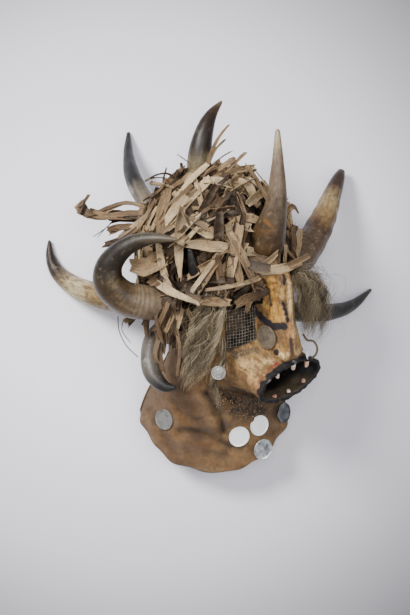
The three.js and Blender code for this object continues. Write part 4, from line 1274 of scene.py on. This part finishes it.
def hood_points(angle, share):
    """Points of the cloth, round from the left over the top and from neck to hem."""
    spread = smooth(share, 0.2, 1.1)
    half = HOOD_NECK_HALF + (HOOD_HALF - HOOD_NECK_HALF) * spread
    middle = HOOD_NECK_X + (HOOD_CENTRE_X - HOOD_NECK_X) * spread
    height = HOOD_NECK_HEIGHT + (HOOD_HEM_HEIGHT - HOOD_NECK_HEIGHT) * share ** 0.8
    c, s = np.cos(angle), np.sin(angle)
    across = np.sign(c) * np.abs(c) ** 0.85
    over = np.sign(s) * np.abs(s) ** 0.9
    fold = 7 * np.sin(3 * angle + 5 * share) * share * np.maximum(0, s)
    rise = height / 2 + (height / 2 + 14) * over + fold - np.where(s > 0, 14, 0)
    hem = HOOD_HEM_Y - HOOD_HEM_DROP * (1 - np.clip(np.abs(across), 0, 1) ** 2.3) ** 0.62
    x = middle + half * across
    y = HOOD_NECK_Y + (hem - HOOD_NECK_Y) * share
    return np.column_stack([x, y, np.maximum(0, rise)]), s


def on_cloth(line):
    """A line of pixels as places on the cloth."""
    return [seen(*spot, FOLD_HEIGHT)[:2] for spot in line]


def make_hood():
    """The cloth hood: a plane primitive rolled round and sewn shut, gathered at the neck."""
    faces_round, faces_along = HOOD_FACES
    hood, around, share = grid("hood_cloth_shell", faces_round, faces_along)
    angle = 2 * math.pi * np.rint(around * faces_round) / faces_round
    share = np.rint(share * faces_along) / faces_along
    points, over = hood_points(angle, share)
    top = smooth(points[:, 2], 2, 30)
    # Gathers at the neck, slanting folds with their hollows, and soft creases.
    pleats = np.sin(angle * GATHERS + 3 * np.sin(angle * 3))
    lift = GATHER_HEIGHT * pleats * smooth(share, 0.75, 0.0)
    flat = points[:, :2]
    billows = waves(flat, 120.0, 41) * 5 + waves(flat, 46.0, 42) * 2.4
    lift += billows * smooth(share, 0.05, 0.3)
    hollow = np.zeros(len(points))
    for line, width, depth in HOOD_FOLDS:
        near = closeness(flat, on_cloth(line), width)
        lift += depth * near
        if depth < 0:
            hollow = np.maximum(hollow, near * min(1.0, -depth / 14))
    lift += 0.8 * waves(points, 9.0, 43)
    # The cloth lies flat under the mirrors.
    beside = np.ones(len(points))
    for disc in HOOD_DISCS:
        centre = from_row([disc_facts(disc)[0]])[0]
        gap = np.linalg.norm(points - centre, axis=1)
        beside = np.minimum(beside, smooth(gap, *FLAT_REACHES))
    lift *= beside
    points[:, 2] = np.maximum(0.0, points[:, 2] + top * lift * np.clip(over, 0, 1))
    # The hem runs in small waves, and its right end sticks out in a corner.
    near_hem = smooth(share, 0.82, 1.0) * smooth(over, 0.0, 0.3) * beside
    wavy = 2.6 * np.sin(angle * 9 + 1) + 2.2 * np.sin(angle * 15 + 2)
    points[:, 0] += near_hem * wavy * np.cos(angle)
    points[:, 1] -= near_hem * wavy * np.abs(np.sin(angle)) * 0.8
    corner = closeness(flat, on_cloth(HOOD_CORNER), CORNER_WIDTH)
    points[:, 0] += CORNER_OUT * corner * near_hem
    place_points(hood, to_row(points))
    # Painted shade and stains: dark in the folds' hollows, in the speckled places under the jaw and at
    # the neck, with random stains over all.
    specks = np.zeros(len(points))
    for line, width in HOOD_SHADE:
        specks = np.maximum(specks, closeness(flat, on_cloth(line), width))
    worn = np.maximum(specks * (0.8 + 0.2 * waves(points, 12.0, 44)), hollow * 0.75)
    worn = np.maximum(worn, smooth(share, 0.22, 0.0) * 0.5)
    worn += 0.12 * waves(points, 30.0, 45)
    note(hood, "worn", np.clip(worn, 0, 0.93))
    note(hood, "specks", np.clip(specks, 0, 1))
    for corner_uv in hood.data.uv_layers.active.data:
        u, v = corner_uv.uv
        corner_uv.uv = (u * HOOD_WEAVE[0], v * HOOD_WEAVE[1])
    close_up(hood)
    wall = hood.modifiers.new("wall", "SOLIDIFY")
    wall.thickness = HOOD_WALL * MM
    wall.offset = -1
    apply_modifiers(hood)
    shade(hood)
    look = cloth_finish(
        "worn_hessian", tone(72, 51, 32), tone(116, 86, 55), tone(150, 118, 78), 26.0, 0.0014
    )
    finish(hood, look, "hood_cloth", "cloth_hood")
make_hood()

cap_look = black_cloth_finish()
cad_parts["head_cap"].data.materials.clear()
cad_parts["head_cap"].data.materials.append(cap_look)


# Leaf mantle, in mm

CAP_HALF_WIDTH, CAP_HALF_LENGTH, CAP_HEIGHT = 120, 135, 140
MANTLE_DEPTH = 20
MANTLE_LUMP = 5
MANTLE_HEM = -58
# Faces of the mat round and up, and of a strip across and along.
MAT_FACES = (96, 48)
STRIP_FACES = (3, 10)
MAT_WALL = 6
STRIP_WALL = 0.9
# Strips and hair stay this far above the floor.
LEAST_HEIGHT = 1.2


def mantle_points(angle, level, lift):
    """Design points over the head: angle from the front towards the left, level up the dome."""
    share = np.cos(np.maximum(0, level))
    dome = np.sin(np.clip(level, 0, math.pi / 2))
    up = dome * (CAP_HEIGHT + lift) + np.minimum(0, level) * CAP_HEIGHT
    left = np.sin(angle) * share * (CAP_HALF_WIDTH + lift)
    forward = np.cos(angle) * share * (CAP_HALF_LENGTH + lift)
    return HEAD_CENTRE + np.outer(left, LEFT) + np.outer(forward, FORWARD) + np.outer(up, CROWN)


def make_underlay():
    """The lumpy mat that the strips are tied to."""
    faces_round, faces_up = MAT_FACES
    mat, around, rise = grid("leaf_underlay", faces_round, faces_up)
    angle = 2 * math.pi * np.rint(around * faces_round) / faces_round
    low = MANTLE_HEM / CAP_HEIGHT
    level = low + (math.pi / 2 - low) * rise
    lump = MANTLE_LUMP * 0.6 * (np.sin(5 * angle + 2 * level) + np.cos(3 * angle - 7 * level))
    points = mantle_points(angle, level, MANTLE_DEPTH - 3 + lump)
    points += (points - HEAD_CENTRE) / 150 * (4.0 * waves(points, 18.0, 51))[:, None]
    place_points(mat, to_row(points))
    close_up(mat)
    wall = mat.modifiers.new("wall", "SOLIDIFY")
    wall.thickness = MAT_WALL * MM
    wall.offset = -1
    apply_modifiers(mat)
    shade(mat)
    finish(mat, underlay_gap_shade_finish(), "leaf", "leaf_mantle")


make_underlay()

strip_points, strip_faces, strip_fibre, strip_shade = [], [], [], []


def model_strip():
    """One flat leaf strip, from a plane primitive: its faces, and the share of each point."""
    piece, across, along = grid("strip_pattern", *STRIP_FACES)
    faces = [tuple(p.vertices) for p in piece.data.polygons]
    bpy.data.objects.remove(piece)
    return faces, across - 0.5, along


STRIP_PATTERN, STRIP_ACROSS, STRIP_ALONG = model_strip()


def lay_strip(route, width, out, shade_of, curl, twist, torn):
    """Copies the modelled strip along a route of design points, facing outwards."""
    stations = np.linspace(0, 1, STRIP_FACES[1] + 1)
    middle = curve_points(route, stations)
    ways = carried_frames(middle, out)[0]
    ups = []
    for i, way in enumerate(ways):
        up = out - way * (out @ way)
        up = up / max(np.linalg.norm(up), 1e-6)
        side = np.cross(way, up)
        roll = twist * (stations[i] - 0.4)
        ups.append(up * math.cos(roll) + side * math.sin(roll))
    ups = np.array(ups)
    sides = np.cross(ways, ups)
    row = np.rint(STRIP_ALONG * STRIP_FACES[1]).astype(int)
    share = stations[row]
    ends = 0.72 + 0.28 * np.minimum(1, np.minimum(share * 5 + 0.25, (1 - share) * 4 + 0.1))
    ragged = 1 + torn * (grain_rng.random(len(row)) - 0.5) * 0.7
    reach = STRIP_ACROSS * width * ends * ragged
    hollow = curl * width * ((STRIP_ACROSS * 2) ** 2 - 0.4)
    points = middle[row] + sides[row] * reach[:, None] + ups[row] * hollow[:, None]
    # The torn ends run out unevenly.
    run_out = ((share == 1) | (share == 0)) * (grain_rng.random(len(row)) - 0.5) * 26 * torn
    points += ways[row] * run_out[:, None]
    first = sum(len(p) for p in strip_points)
    strip_points.append(points)
    strip_faces.extend(tuple(first + i for i in face_of) for face_of in STRIP_PATTERN)
    length = np.linalg.norm(np.diff(middle, axis=0), axis=1).sum()
    offset = grain_rng.random(3) * 50
    strip_fibre.append(np.column_stack([reach * 0.9, share * length * 0.05, share * 0]) + offset)
    strip_shade.append(np.clip(shade_of + 0.08 * np.sin(share * 5 + offset[0]), 0, 1))


STRIP_BENDS = 6
# The radius in mm of the curve that a strip on the mantle follows.
BOW_RADIUS = 150


def bent_route(base, way, out, length, lift, sag, kick, kink):
    """A strip's route over the head, its ends lifting, perhaps kinked part of the way."""
    route = []
    place = base + out * lift
    heading = way.copy()
    step = length / STRIP_BENDS
    for i in range(STRIP_BENDS + 1):
        share = i / STRIP_BENDS
        if kink and i == kink[0]:
            heading = heading * math.cos(kink[1]) + np.cross(out, heading) * math.sin(kink[1])
            heading = heading + out * kink[2]
            heading /= np.linalg.norm(heading)
        arc = kick * (2 * share - 1) ** 2 - sag * math.sin(math.pi * share)
        bow = -((i - STRIP_BENDS / 2) * step) ** 2 / (2 * BOW_RADIUS)
        route.append(place + out * (arc + bow))
        place = place + heading * step
    middle = (route[STRIP_BENDS // 2] - (base + out * lift)) * 0.5
    return [p - middle * 0.9 for p in route]


# Places that the scattered strips leave open, where a horn's root shows: a pixel of the
# photograph, the reach in pixels and the least height in mm.
CLEARINGS = [
    (266, 210, 13, 250), (263, 226, 14, 250), (260, 241, 12, 255), (187, 256, 6, 230),
    (190, 158, 9, 196), (187, 268, 6, 230), (146, 292, 9, 216),
]


def over_clearing(place):
    """Whether a point of a strip's route lies over one of the clearings."""
    px, py = (float(value[0]) for value in pixels([place]))
    return any(
        place[2] > least and math.hypot(px - x, py - y) < reach for x, y, reach, least in CLEARINGS
    )


# The layers of scattered strips, from the lowest: how many, from which share of the dome's height to
# which, how far out in mm, their lengths and widths in mm, their shades, and a seed. The lower layers'
# darker shades are painted shade under the strips above.
STRIP_LAYERS = [
    (170, -0.3, 0.98, -3, (60, 110), (10, 24), (0.0, 0.3), 3),
    (230, -0.3, 0.99, 2, (70, 140), (8, 21), (0.05, 0.75), 4),
    (150, -0.1, 0.99, 8, (75, 150), (7, 21), (0.4, 1.0), 6),
]
# How strips lean in the photograph, in radians, by their place across it in mm.
LEAN_PLACES = (-140, -60, 20, 100, 170)
LEANS = (0.35, 0.8, 1.25, 1.8, 2.2)
# The shares of strips that lean about that way, and that are kinked.
COMBED_SHARE, KINKED_SHARE = 0.78, 0.3


def scatter_strips(count, lowest, highest, lift, lengths, widths, shades, seed):
    """Strips laid all over the mantle, an even spread with chance turns."""
    rng = random.Random(seed)
    turn = math.pi * (3 - math.sqrt(5))
    for i in range(count):
        angle = i * turn + rng.uniform(-0.2, 0.2)
        level = math.asin(lowest + (highest - lowest) * (i + 0.5) / count)
        base, east, north = mantle_points(
            np.array([angle, angle + 0.02, angle]), np.array([level, level, level + 0.02]), MANTLE_DEPTH
        )
        east, north = east - base, north - base
        out = np.cross(east, north)
        out /= np.linalg.norm(out)
        if out @ (base - HEAD_CENTRE) < 0:
            out = -out
        lean = np.interp(base[0], LEAN_PLACES, LEANS)
        lean += rng.gauss(0, 0.5) if rng.random() < COMBED_SHARE else rng.uniform(-1.6, 1.6)
        way = np.array((math.cos(lean), math.sin(lean), 0.0))
        way -= out * (way @ out)
        if np.linalg.norm(way) < 0.2:
            way = north
        way /= np.linalg.norm(way)
        length = rng.uniform(*lengths)
        kink = None
        if rng.random() < KINKED_SHARE:
            kink = (rng.choice((2, 3, 4)), rng.uniform(-1.3, 1.3), rng.uniform(-0.2, 0.5))
        route = bent_route(
            base, way, out, length, lift + rng.uniform(0, 9), rng.uniform(0, 3),
            rng.uniform(0, 9), kink,
        )
        tilt = out + 0.7 * rng.uniform(-1, 1) * np.cross(way, out)
        facts = (
            rng.uniform(*widths), tilt / np.linalg.norm(tilt), rng.uniform(*shades),
            rng.uniform(0.05, 0.38), rng.gauss(0, 1.0), rng.uniform(0.1, 0.4),
        )
        if not any(over_clearing(place) for place in route):
            lay_strip(route, *facts)


for layer in STRIP_LAYERS:
    scatter_strips(*layer)

# Strips that stand, hang or lie clear of the mantle: points as a pixel of the photograph and a
# height in mm, then width in mm, shade, and how many.
SPRAYS = [
    ([(150, 214, 206), (128, 213, 198), (106, 217, 190), (88, 214, 182), (76, 207, 176),
      (84, 203, 184)], 20, 0.6, 3),
    ([(146, 206, 206), (124, 203, 198), (107, 208, 188), (94, 214, 180)], 12, 0.65, 2),
    ([(150, 221, 200), (128, 220, 194), (108, 219, 186)], 12, 0.25, 3),
    ([(142, 228, 204), (124, 227, 198), (107, 229, 186)], 17, 0.5, 2),
    ([(138, 238, 200), (120, 240, 192), (106, 244, 178)], 15, 0.3, 2),
    ([(112, 222, 176), (104, 230, 168), (98, 237, 160)], 3, 0.1, 2),
    ([(148, 238, 236), (160, 220, 246), (171, 203, 250), (177, 191, 244)], 17, 0.75, 1),
    ([(118, 238, 200), (134, 226, 214), (152, 212, 224)], 15, 0.7, 2),
    ([(132, 236, 214), (146, 216, 226), (156, 200, 230)], 14, 0.6, 2),
    ([(146, 181, 196), (157, 175, 204), (168, 174, 206), (178, 181, 206)], 7, 0.35, 2),
    ([(150, 198, 206), (160, 192, 214), (168, 182, 212)], 12, 0.55, 2),
    ([(205, 172, 226), (211, 153, 228), (220, 136, 226), (229, 125, 224)], 10, 0.7, 1),
    ([(208, 165, 230), (216, 149, 230), (226, 139, 228)], 8, 0.6, 1),
    ([(210, 168, 226), (222, 157, 226), (232, 151, 226)], 4, 0.4, 1),
    ([(212, 176, 234), (224, 166, 238), (236, 158, 236)], 15, 0.6, 1),
    ([(218, 180, 234), (232, 166, 240), (241, 157, 238), (246, 152, 234)], 10, 0.75, 1),
    ([(188, 162, 208), (178, 155, 210)], 3, 0.2, 1),
    ([(176, 179, 202), (181, 171, 206), (184, 166, 202)], 10, 0.4, 2),
    ([(198, 186, 224), (208, 172, 238), (216, 168, 236), (220, 176, 226)], 14, 0.6, 1),
    ([(228, 182, 246), (240, 181, 256), (250, 188, 258), (254, 200, 254)], 18, 0.8, 2),
    ([(252, 228, 302), (236, 228, 310), (216, 246, 312), (203, 270, 304), (201, 288, 292),
      (204, 298, 284)], 22, 1.0, 1),
    ([(262, 222, 296), (246, 218, 306), (228, 228, 308), (214, 240, 306)], 18, 0.85, 1),
    ([(228, 238, 304), (224, 256, 308), (226, 276, 302)], 30, 0.4, 1),
    ([(226, 262, 304), (246, 262, 308), (264, 270, 306), (284, 268, 292), (300, 262, 262)],
     22, 0.85, 2),
    ([(240, 252, 306), (258, 258, 308), (276, 264, 298)], 20, 0.7, 1),
    ([(216, 300, 292), (234, 289, 300), (252, 281, 302), (268, 273, 298)], 12, 0.8, 1),
    ([(204, 288, 292), (214, 283, 298), (226, 281, 300), (238, 285, 296)], 10, 0.95, 1),
    ([(262, 277, 298), (256, 290, 292), (249, 303, 284), (246, 313, 276)], 15, 0.6, 1),
    ([(266, 276, 296), (262, 288, 290), (255, 298, 284)], 10, 0.45, 1),
    ([(284, 240, 250), (289, 252, 252), (298, 262, 250)], 9, 0.75, 1),
    ([(284, 216, 236), (293, 206, 232), (298, 213, 226)], 15, 0.5, 2),
    ([(287, 230, 236), (294, 246, 232), (300, 262, 228)], 10, 0.7, 2),
    ([(178, 250, 264), (162, 259, 274), (146, 267, 274), (130, 264, 264)], 44, 0.8, 1),
    ([(178, 262, 260), (164, 274, 264), (150, 284, 258)], 24, 0.6, 1),
    ([(192, 276, 266), (184, 294, 260), (173, 316, 248), (166, 332, 236)], 11, 0.75, 1),
    ([(188, 280, 262), (176, 292, 258), (168, 304, 248)], 26, 0.5, 1),
    ([(184, 300, 260), (190, 315, 254), (196, 326, 246)], 13, 0.6, 1),
    ([(199, 302, 262), (195, 318, 254), (190, 326, 246)], 12, 0.55, 1),
    ([(174, 304, 250), (165, 330, 232), (160, 352, 214), (163, 372, 200)], 14, 0.55, 2),
    ([(170, 300, 246), (176, 326, 240), (180, 350, 228), (177, 376, 212)], 12, 0.5, 2),
    ([(178, 300, 246), (172, 330, 234), (170, 352, 222)], 14, 0.3, 2),
    ([(186, 318, 246), (184, 340, 238), (186, 362, 226)], 11, 0.25, 2),
    ([(156, 300, 222), (140, 312, 206), (128, 326, 194)], 13, 0.3, 2),
    ([(172, 284, 262), (165, 300, 254), (160, 318, 242), (157, 338, 226)], 12, 0.5, 3),
    ([(180, 284, 262), (176, 302, 256), (172, 322, 244), (168, 344, 230)], 13, 0.4, 3),
    ([(162, 292, 244), (152, 306, 230), (146, 320, 214)], 12, 0.35, 3),
    ([(188, 286, 266), (185, 304, 260), (180, 324, 248)], 11, 0.65, 3),
    ([(168, 244, 276), (175, 262, 276), (180, 282, 266)], 13, 0.5, 2),
    ([(196, 244, 298), (199, 262, 300), (197, 284, 290)], 12, 0.6, 2),
    ([(204, 286, 296), (216, 272, 304), (230, 263, 308)], 14, 0.7, 2),
    ([(158, 262, 262), (168, 277, 264), (178, 291, 258)], 14, 0.45, 2),
    ([(146, 270, 250), (159, 281, 254), (172, 289, 254)], 12, 0.6, 2),
    ([(212, 250, 310), (226, 247, 314), (244, 248, 312)], 13, 0.75, 2),
    ([(150, 300, 236), (160, 312, 236), (164, 330, 228), (158, 350, 214)], 12, 0.45, 3),
    ([(194, 282, 270), (186, 296, 264), (176, 310, 254)], 14, 0.55, 2),
    ([(118, 316, 190), (119, 330, 186), (126, 345, 180), (138, 357, 176)], 3.5, 0.0, 1),
    ([(124, 318, 190), (122, 330, 186), (130, 342, 180)], 3, 0.0, 1),
    ([(150, 312, 200), (148, 330, 190), (155, 348, 180)], 12, 0.45, 2),
]

# How far the copies of a spray stray at their first point, and more at each next one, in mm.
SPRAY_STRAY, SPRAY_SPREAD = 5, 3

for route, width, shade_of, count in SPRAYS:
    for copy in range(count):
        bent = []
        for i, spot in enumerate(route):
            reach = SPRAY_STRAY + SPRAY_SPREAD * i
            stray = np.array([chance.uniform(-1, 1) * reach for _ in range(3)])
            bent.append(np.array(seen(*spot)) + min(copy, 1) * stray)
        out = np.array(seen(*route[1])) - HEAD_CENTRE + (0, 0, 60)
        out /= np.linalg.norm(out)
        lay_strip(
            bent, width * chance.uniform(0.7, 1.0), out, shade_of + chance.uniform(-0.2, 0.1),
            curl=chance.uniform(0.08, 0.25), twist=chance.uniform(-0.8, 0.8), torn=0.3,
        )
strip_places = np.concatenate(strip_points)
strip_places[:, 2] = np.maximum(strip_places[:, 2], LEAST_HEIGHT)
strips = from_arrays("leaf_strips", to_row(strip_places), strip_faces)
note_place(strips, "fibre", np.concatenate(strip_fibre))
note(strips, "shade", np.concatenate(strip_shade))
wall = strips.modifiers.new("wall", "SOLIDIFY")
wall.thickness = STRIP_WALL * MM
wall.offset = 0
apply_modifiers(strips)
shade(strips, 50)
finish(strips, leaf_finish(), "leaf", "leaf_mantle")


# Hair locks
# Locks from root to tip, as pixels of the photograph and a height in mm, half width and hairs.
LOCKS = {
    "hair_right_front": ([(226, 288, 300), (220, 308, 294), (214, 336, 280), (206, 362, 262),
                          (192, 388, 240)], 7, 300),
    "hair_right_back": ([(210, 292, 296), (203, 318, 284), (196, 344, 266), (191, 368, 250),
                         (182, 392, 232)], 12, 460),
    "hair_right_long": ([(222, 338, 272), (222, 362, 262), (212, 384, 248), (219, 402, 236),
                         (225, 412, 226)], 4.5, 130),
    "hair_left_front": ([(296, 272, 264), (306, 286, 236), (308, 314, 208), (303, 344, 188)], 19, 560),
    "hair_left_back": ([(300, 272, 232), (314, 288, 200), (319, 312, 172), (314, 344, 152)], 20, 520),
}
# A thin lock of these hairs loops round the small mirror on the lip, this far above it, in mm.
HAIR_LOOP = [(303, 334), (307, 340), (313, 341), (317, 347), (316, 354), (312, 358)]
LOOP_HAIRS, LOOP_RADIUS, LOOP_LIFT = 70, 2.2, 7
HAIR_STEPS = 16
HAIR_RADIUS = 0.28
HAIRS_IN_WISP, LEAST_WISPS = 17, 6
# The share of loose hairs, and how far loose and gathered hairs stray, wave and frizz.
LOOSE_SHARE = 0.12
LOOSE_HAIR = (1.0, 1.8, 1.0)
GATHERED_HAIR = (0.13, 1.0, 0.35)


def make_lock(name, spine, half, count, loop):
    """One lock: single wavy hairs gathered into wisps that part towards the tips."""
    rng = random.Random(len(name) * 3 + count)
    shares = np.linspace(0, 1, HAIR_STEPS)
    middle = curve_points([seen(*p) for p in spine], shares)
    length = np.linalg.norm(np.diff(middle, axis=0), axis=1).sum()
    run = shares * length
    _, side, over = carried_frames(middle, (0.0, 0.0, 1.0))
    wisps = []
    for _ in range(max(LEAST_WISPS, count // HAIRS_IN_WISP)):
        wisps.append((
            rng.uniform(0, 2 * math.pi), rng.random() ** 0.5, rng.uniform(-0.9, 0.9),
            rng.uniform(0.7, 1.05), rng.uniform(0, 6.3), rng.uniform(2.5, 7.5), rng.uniform(46, 90),
            rng.random(),
        ))
    routes, shades = [], []
    for _ in range(count):
        angle, away, swing, reach, phase, sway, pitch, wisp_shade = rng.choice(wisps)
        strays, waving, frizzing = LOOSE_HAIR if rng.random() < LOOSE_SHARE else GATHERED_HAIR
        near, near_2 = rng.gauss(0, strays), rng.gauss(0, strays)
        reach *= rng.uniform(0.75, 1.0)
        tip, tip_2 = rng.uniform(-1, 1), rng.uniform(-1, 1)
        spots = curve_points(middle, shares * min(1, reach))
        spread = half * (0.35 + 0.85 * np.sin(np.pi * np.clip(shares * 0.86 + 0.06, 0, 1)))
        wave = smooth(shares, 0.0, 0.35) * sway * waving
        frizz = frizzing * smooth(shares, 0.05, 0.3)
        beat = rng.uniform(0, 6.3)
        u = (away * math.cos(angle) + near) * spread + swing * half * 0.6 * shares ** 2
        v = (away * math.sin(angle) + near_2) * spread * 0.6
        u = u + wave * np.sin(run * 2 * math.pi / pitch + phase) + frizz * np.sin(run * 0.33 + beat)
        v = v + wave * 0.6 * np.cos(run * 2 * math.pi / pitch + phase)
        v = v + frizz * np.cos(run * 0.29 + beat)
        u = u + tip * 6 * shares ** 3
        v = v + tip_2 * 4 * shares ** 3
        path = spots + side * v[:, None] + over * u[:, None]
        path[:, 2] = np.maximum(path[:, 2], LEAST_HEIGHT)
        thin = HAIR_RADIUS * (1 - 0.75 * shares ** 2)
        routes.append(np.column_stack([to_row(path), thin * MM]))
        shades.append(min(1.0, max(0.0, wisp_shade * 0.75 + rng.uniform(-0.1, 0.35))))
    if loop:
        lift = from_row([disc_facts("lip_mirror")[0]])[0][2] + LOOP_LIFT
        curl = curve_points([seen(*p, lift) for p in loop], shares)
        _, side, over = carried_frames(curl, (0.0, 0.0, 1.0))
        for _ in range(LOOP_HAIRS):
            angle, away = rng.uniform(0, 6.3), LOOP_RADIUS * rng.random() ** 0.5
            path = curl + side * away * math.cos(angle) + over * away * math.sin(angle)
            routes.append(np.column_stack([to_row(path), np.full(HAIR_STEPS, HAIR_RADIUS * MM)]))
            shades.append(rng.random() * 0.8)
    piece = tubes(f"{name}_strands", routes, caps=False)
    each = len(piece.data.vertices) // len(routes)
    note(piece, "shade", np.repeat(shades, each))
    shade(piece)
    return piece


hair_look = hair_finish()
for name, (spine, half, count) in LOCKS.items():
    loop = HAIR_LOOP if name == "hair_left_front" else None
    finish(make_lock(name, spine, half, count, loop), hair_look, "hair", name)


# Floor and light, in metres

FLOOR_SIZE = 14
# The middle and the reach of the paper's bright part: a pool of light painted on it, greying towards
# the corners.
LIGHT_POOL_MIDDLE, LIGHT_POOL_REACH = (0.14, 0.02), 0.9
LAMP_AIM = (0, 0, 0.15)
# Each lamp: its place, its size and its power.
LAMPS = {
    "key_light": ((-1.6, 1.3, 2.3), 1.0, 146),
    "fill_light": ((1.9, -0.4, 2.6), 2.2, 34),
    "top_light": ((0.2, 0.2, 3.8), 1.6, 56),
}

pick(camera)
bpy.ops.mesh.primitive_plane_add(size=FLOOR_SIZE, location=(0, 0, 0))
floor = bpy.context.object
floor.name = "studio_floor"
paper = Finish("studio_paper_painted_light", Roughness=0.9, Specular_IOR_Level=0.1)
away = paper.add(
    "ShaderNodeVectorMath",
    {0: paper.place(), 1: (-LIGHT_POOL_MIDDLE[0], -LIGHT_POOL_MIDDLE[1], 0.0)},
    operation="DISTANCE",
)
# Painted light: the paper is bright in the middle and painted greyer towards the corners.
paper.colour(
    paper.bands(
        paper.span(away.outputs["Value"], 0.0, LIGHT_POOL_REACH),
        [(0.0, tone(248, 247, 252)), (0.3, tone(240, 239, 246)), (0.62, tone(206, 205, 212)),
         (0.8, tone(164, 163, 168)), (1.0, tone(112, 111, 114))],
    )
)
floor.data.materials.append(paper.material)

for name, (place, size, power) in LAMPS.items():
    pick(camera)
    bpy.ops.object.light_add(type="AREA", location=place)
    light = bpy.context.object
    light.name = name
    light.data.shape = "DISK"
    light.data.size = size
    light.data.energy = power
    way = Vector(LAMP_AIM) - Vector(place)
    light.rotation_euler = way.to_track_quat("-Z", "Y").to_euler()
world = bpy.data.worlds.new("studio_air")
world.use_nodes = True
world.node_tree.nodes["Background"].inputs["Color"].default_value = (0.92, 0.93, 1.0, 1)
world.node_tree.nodes["Background"].inputs["Strength"].default_value = 0.58
bpy.context.scene.world = world
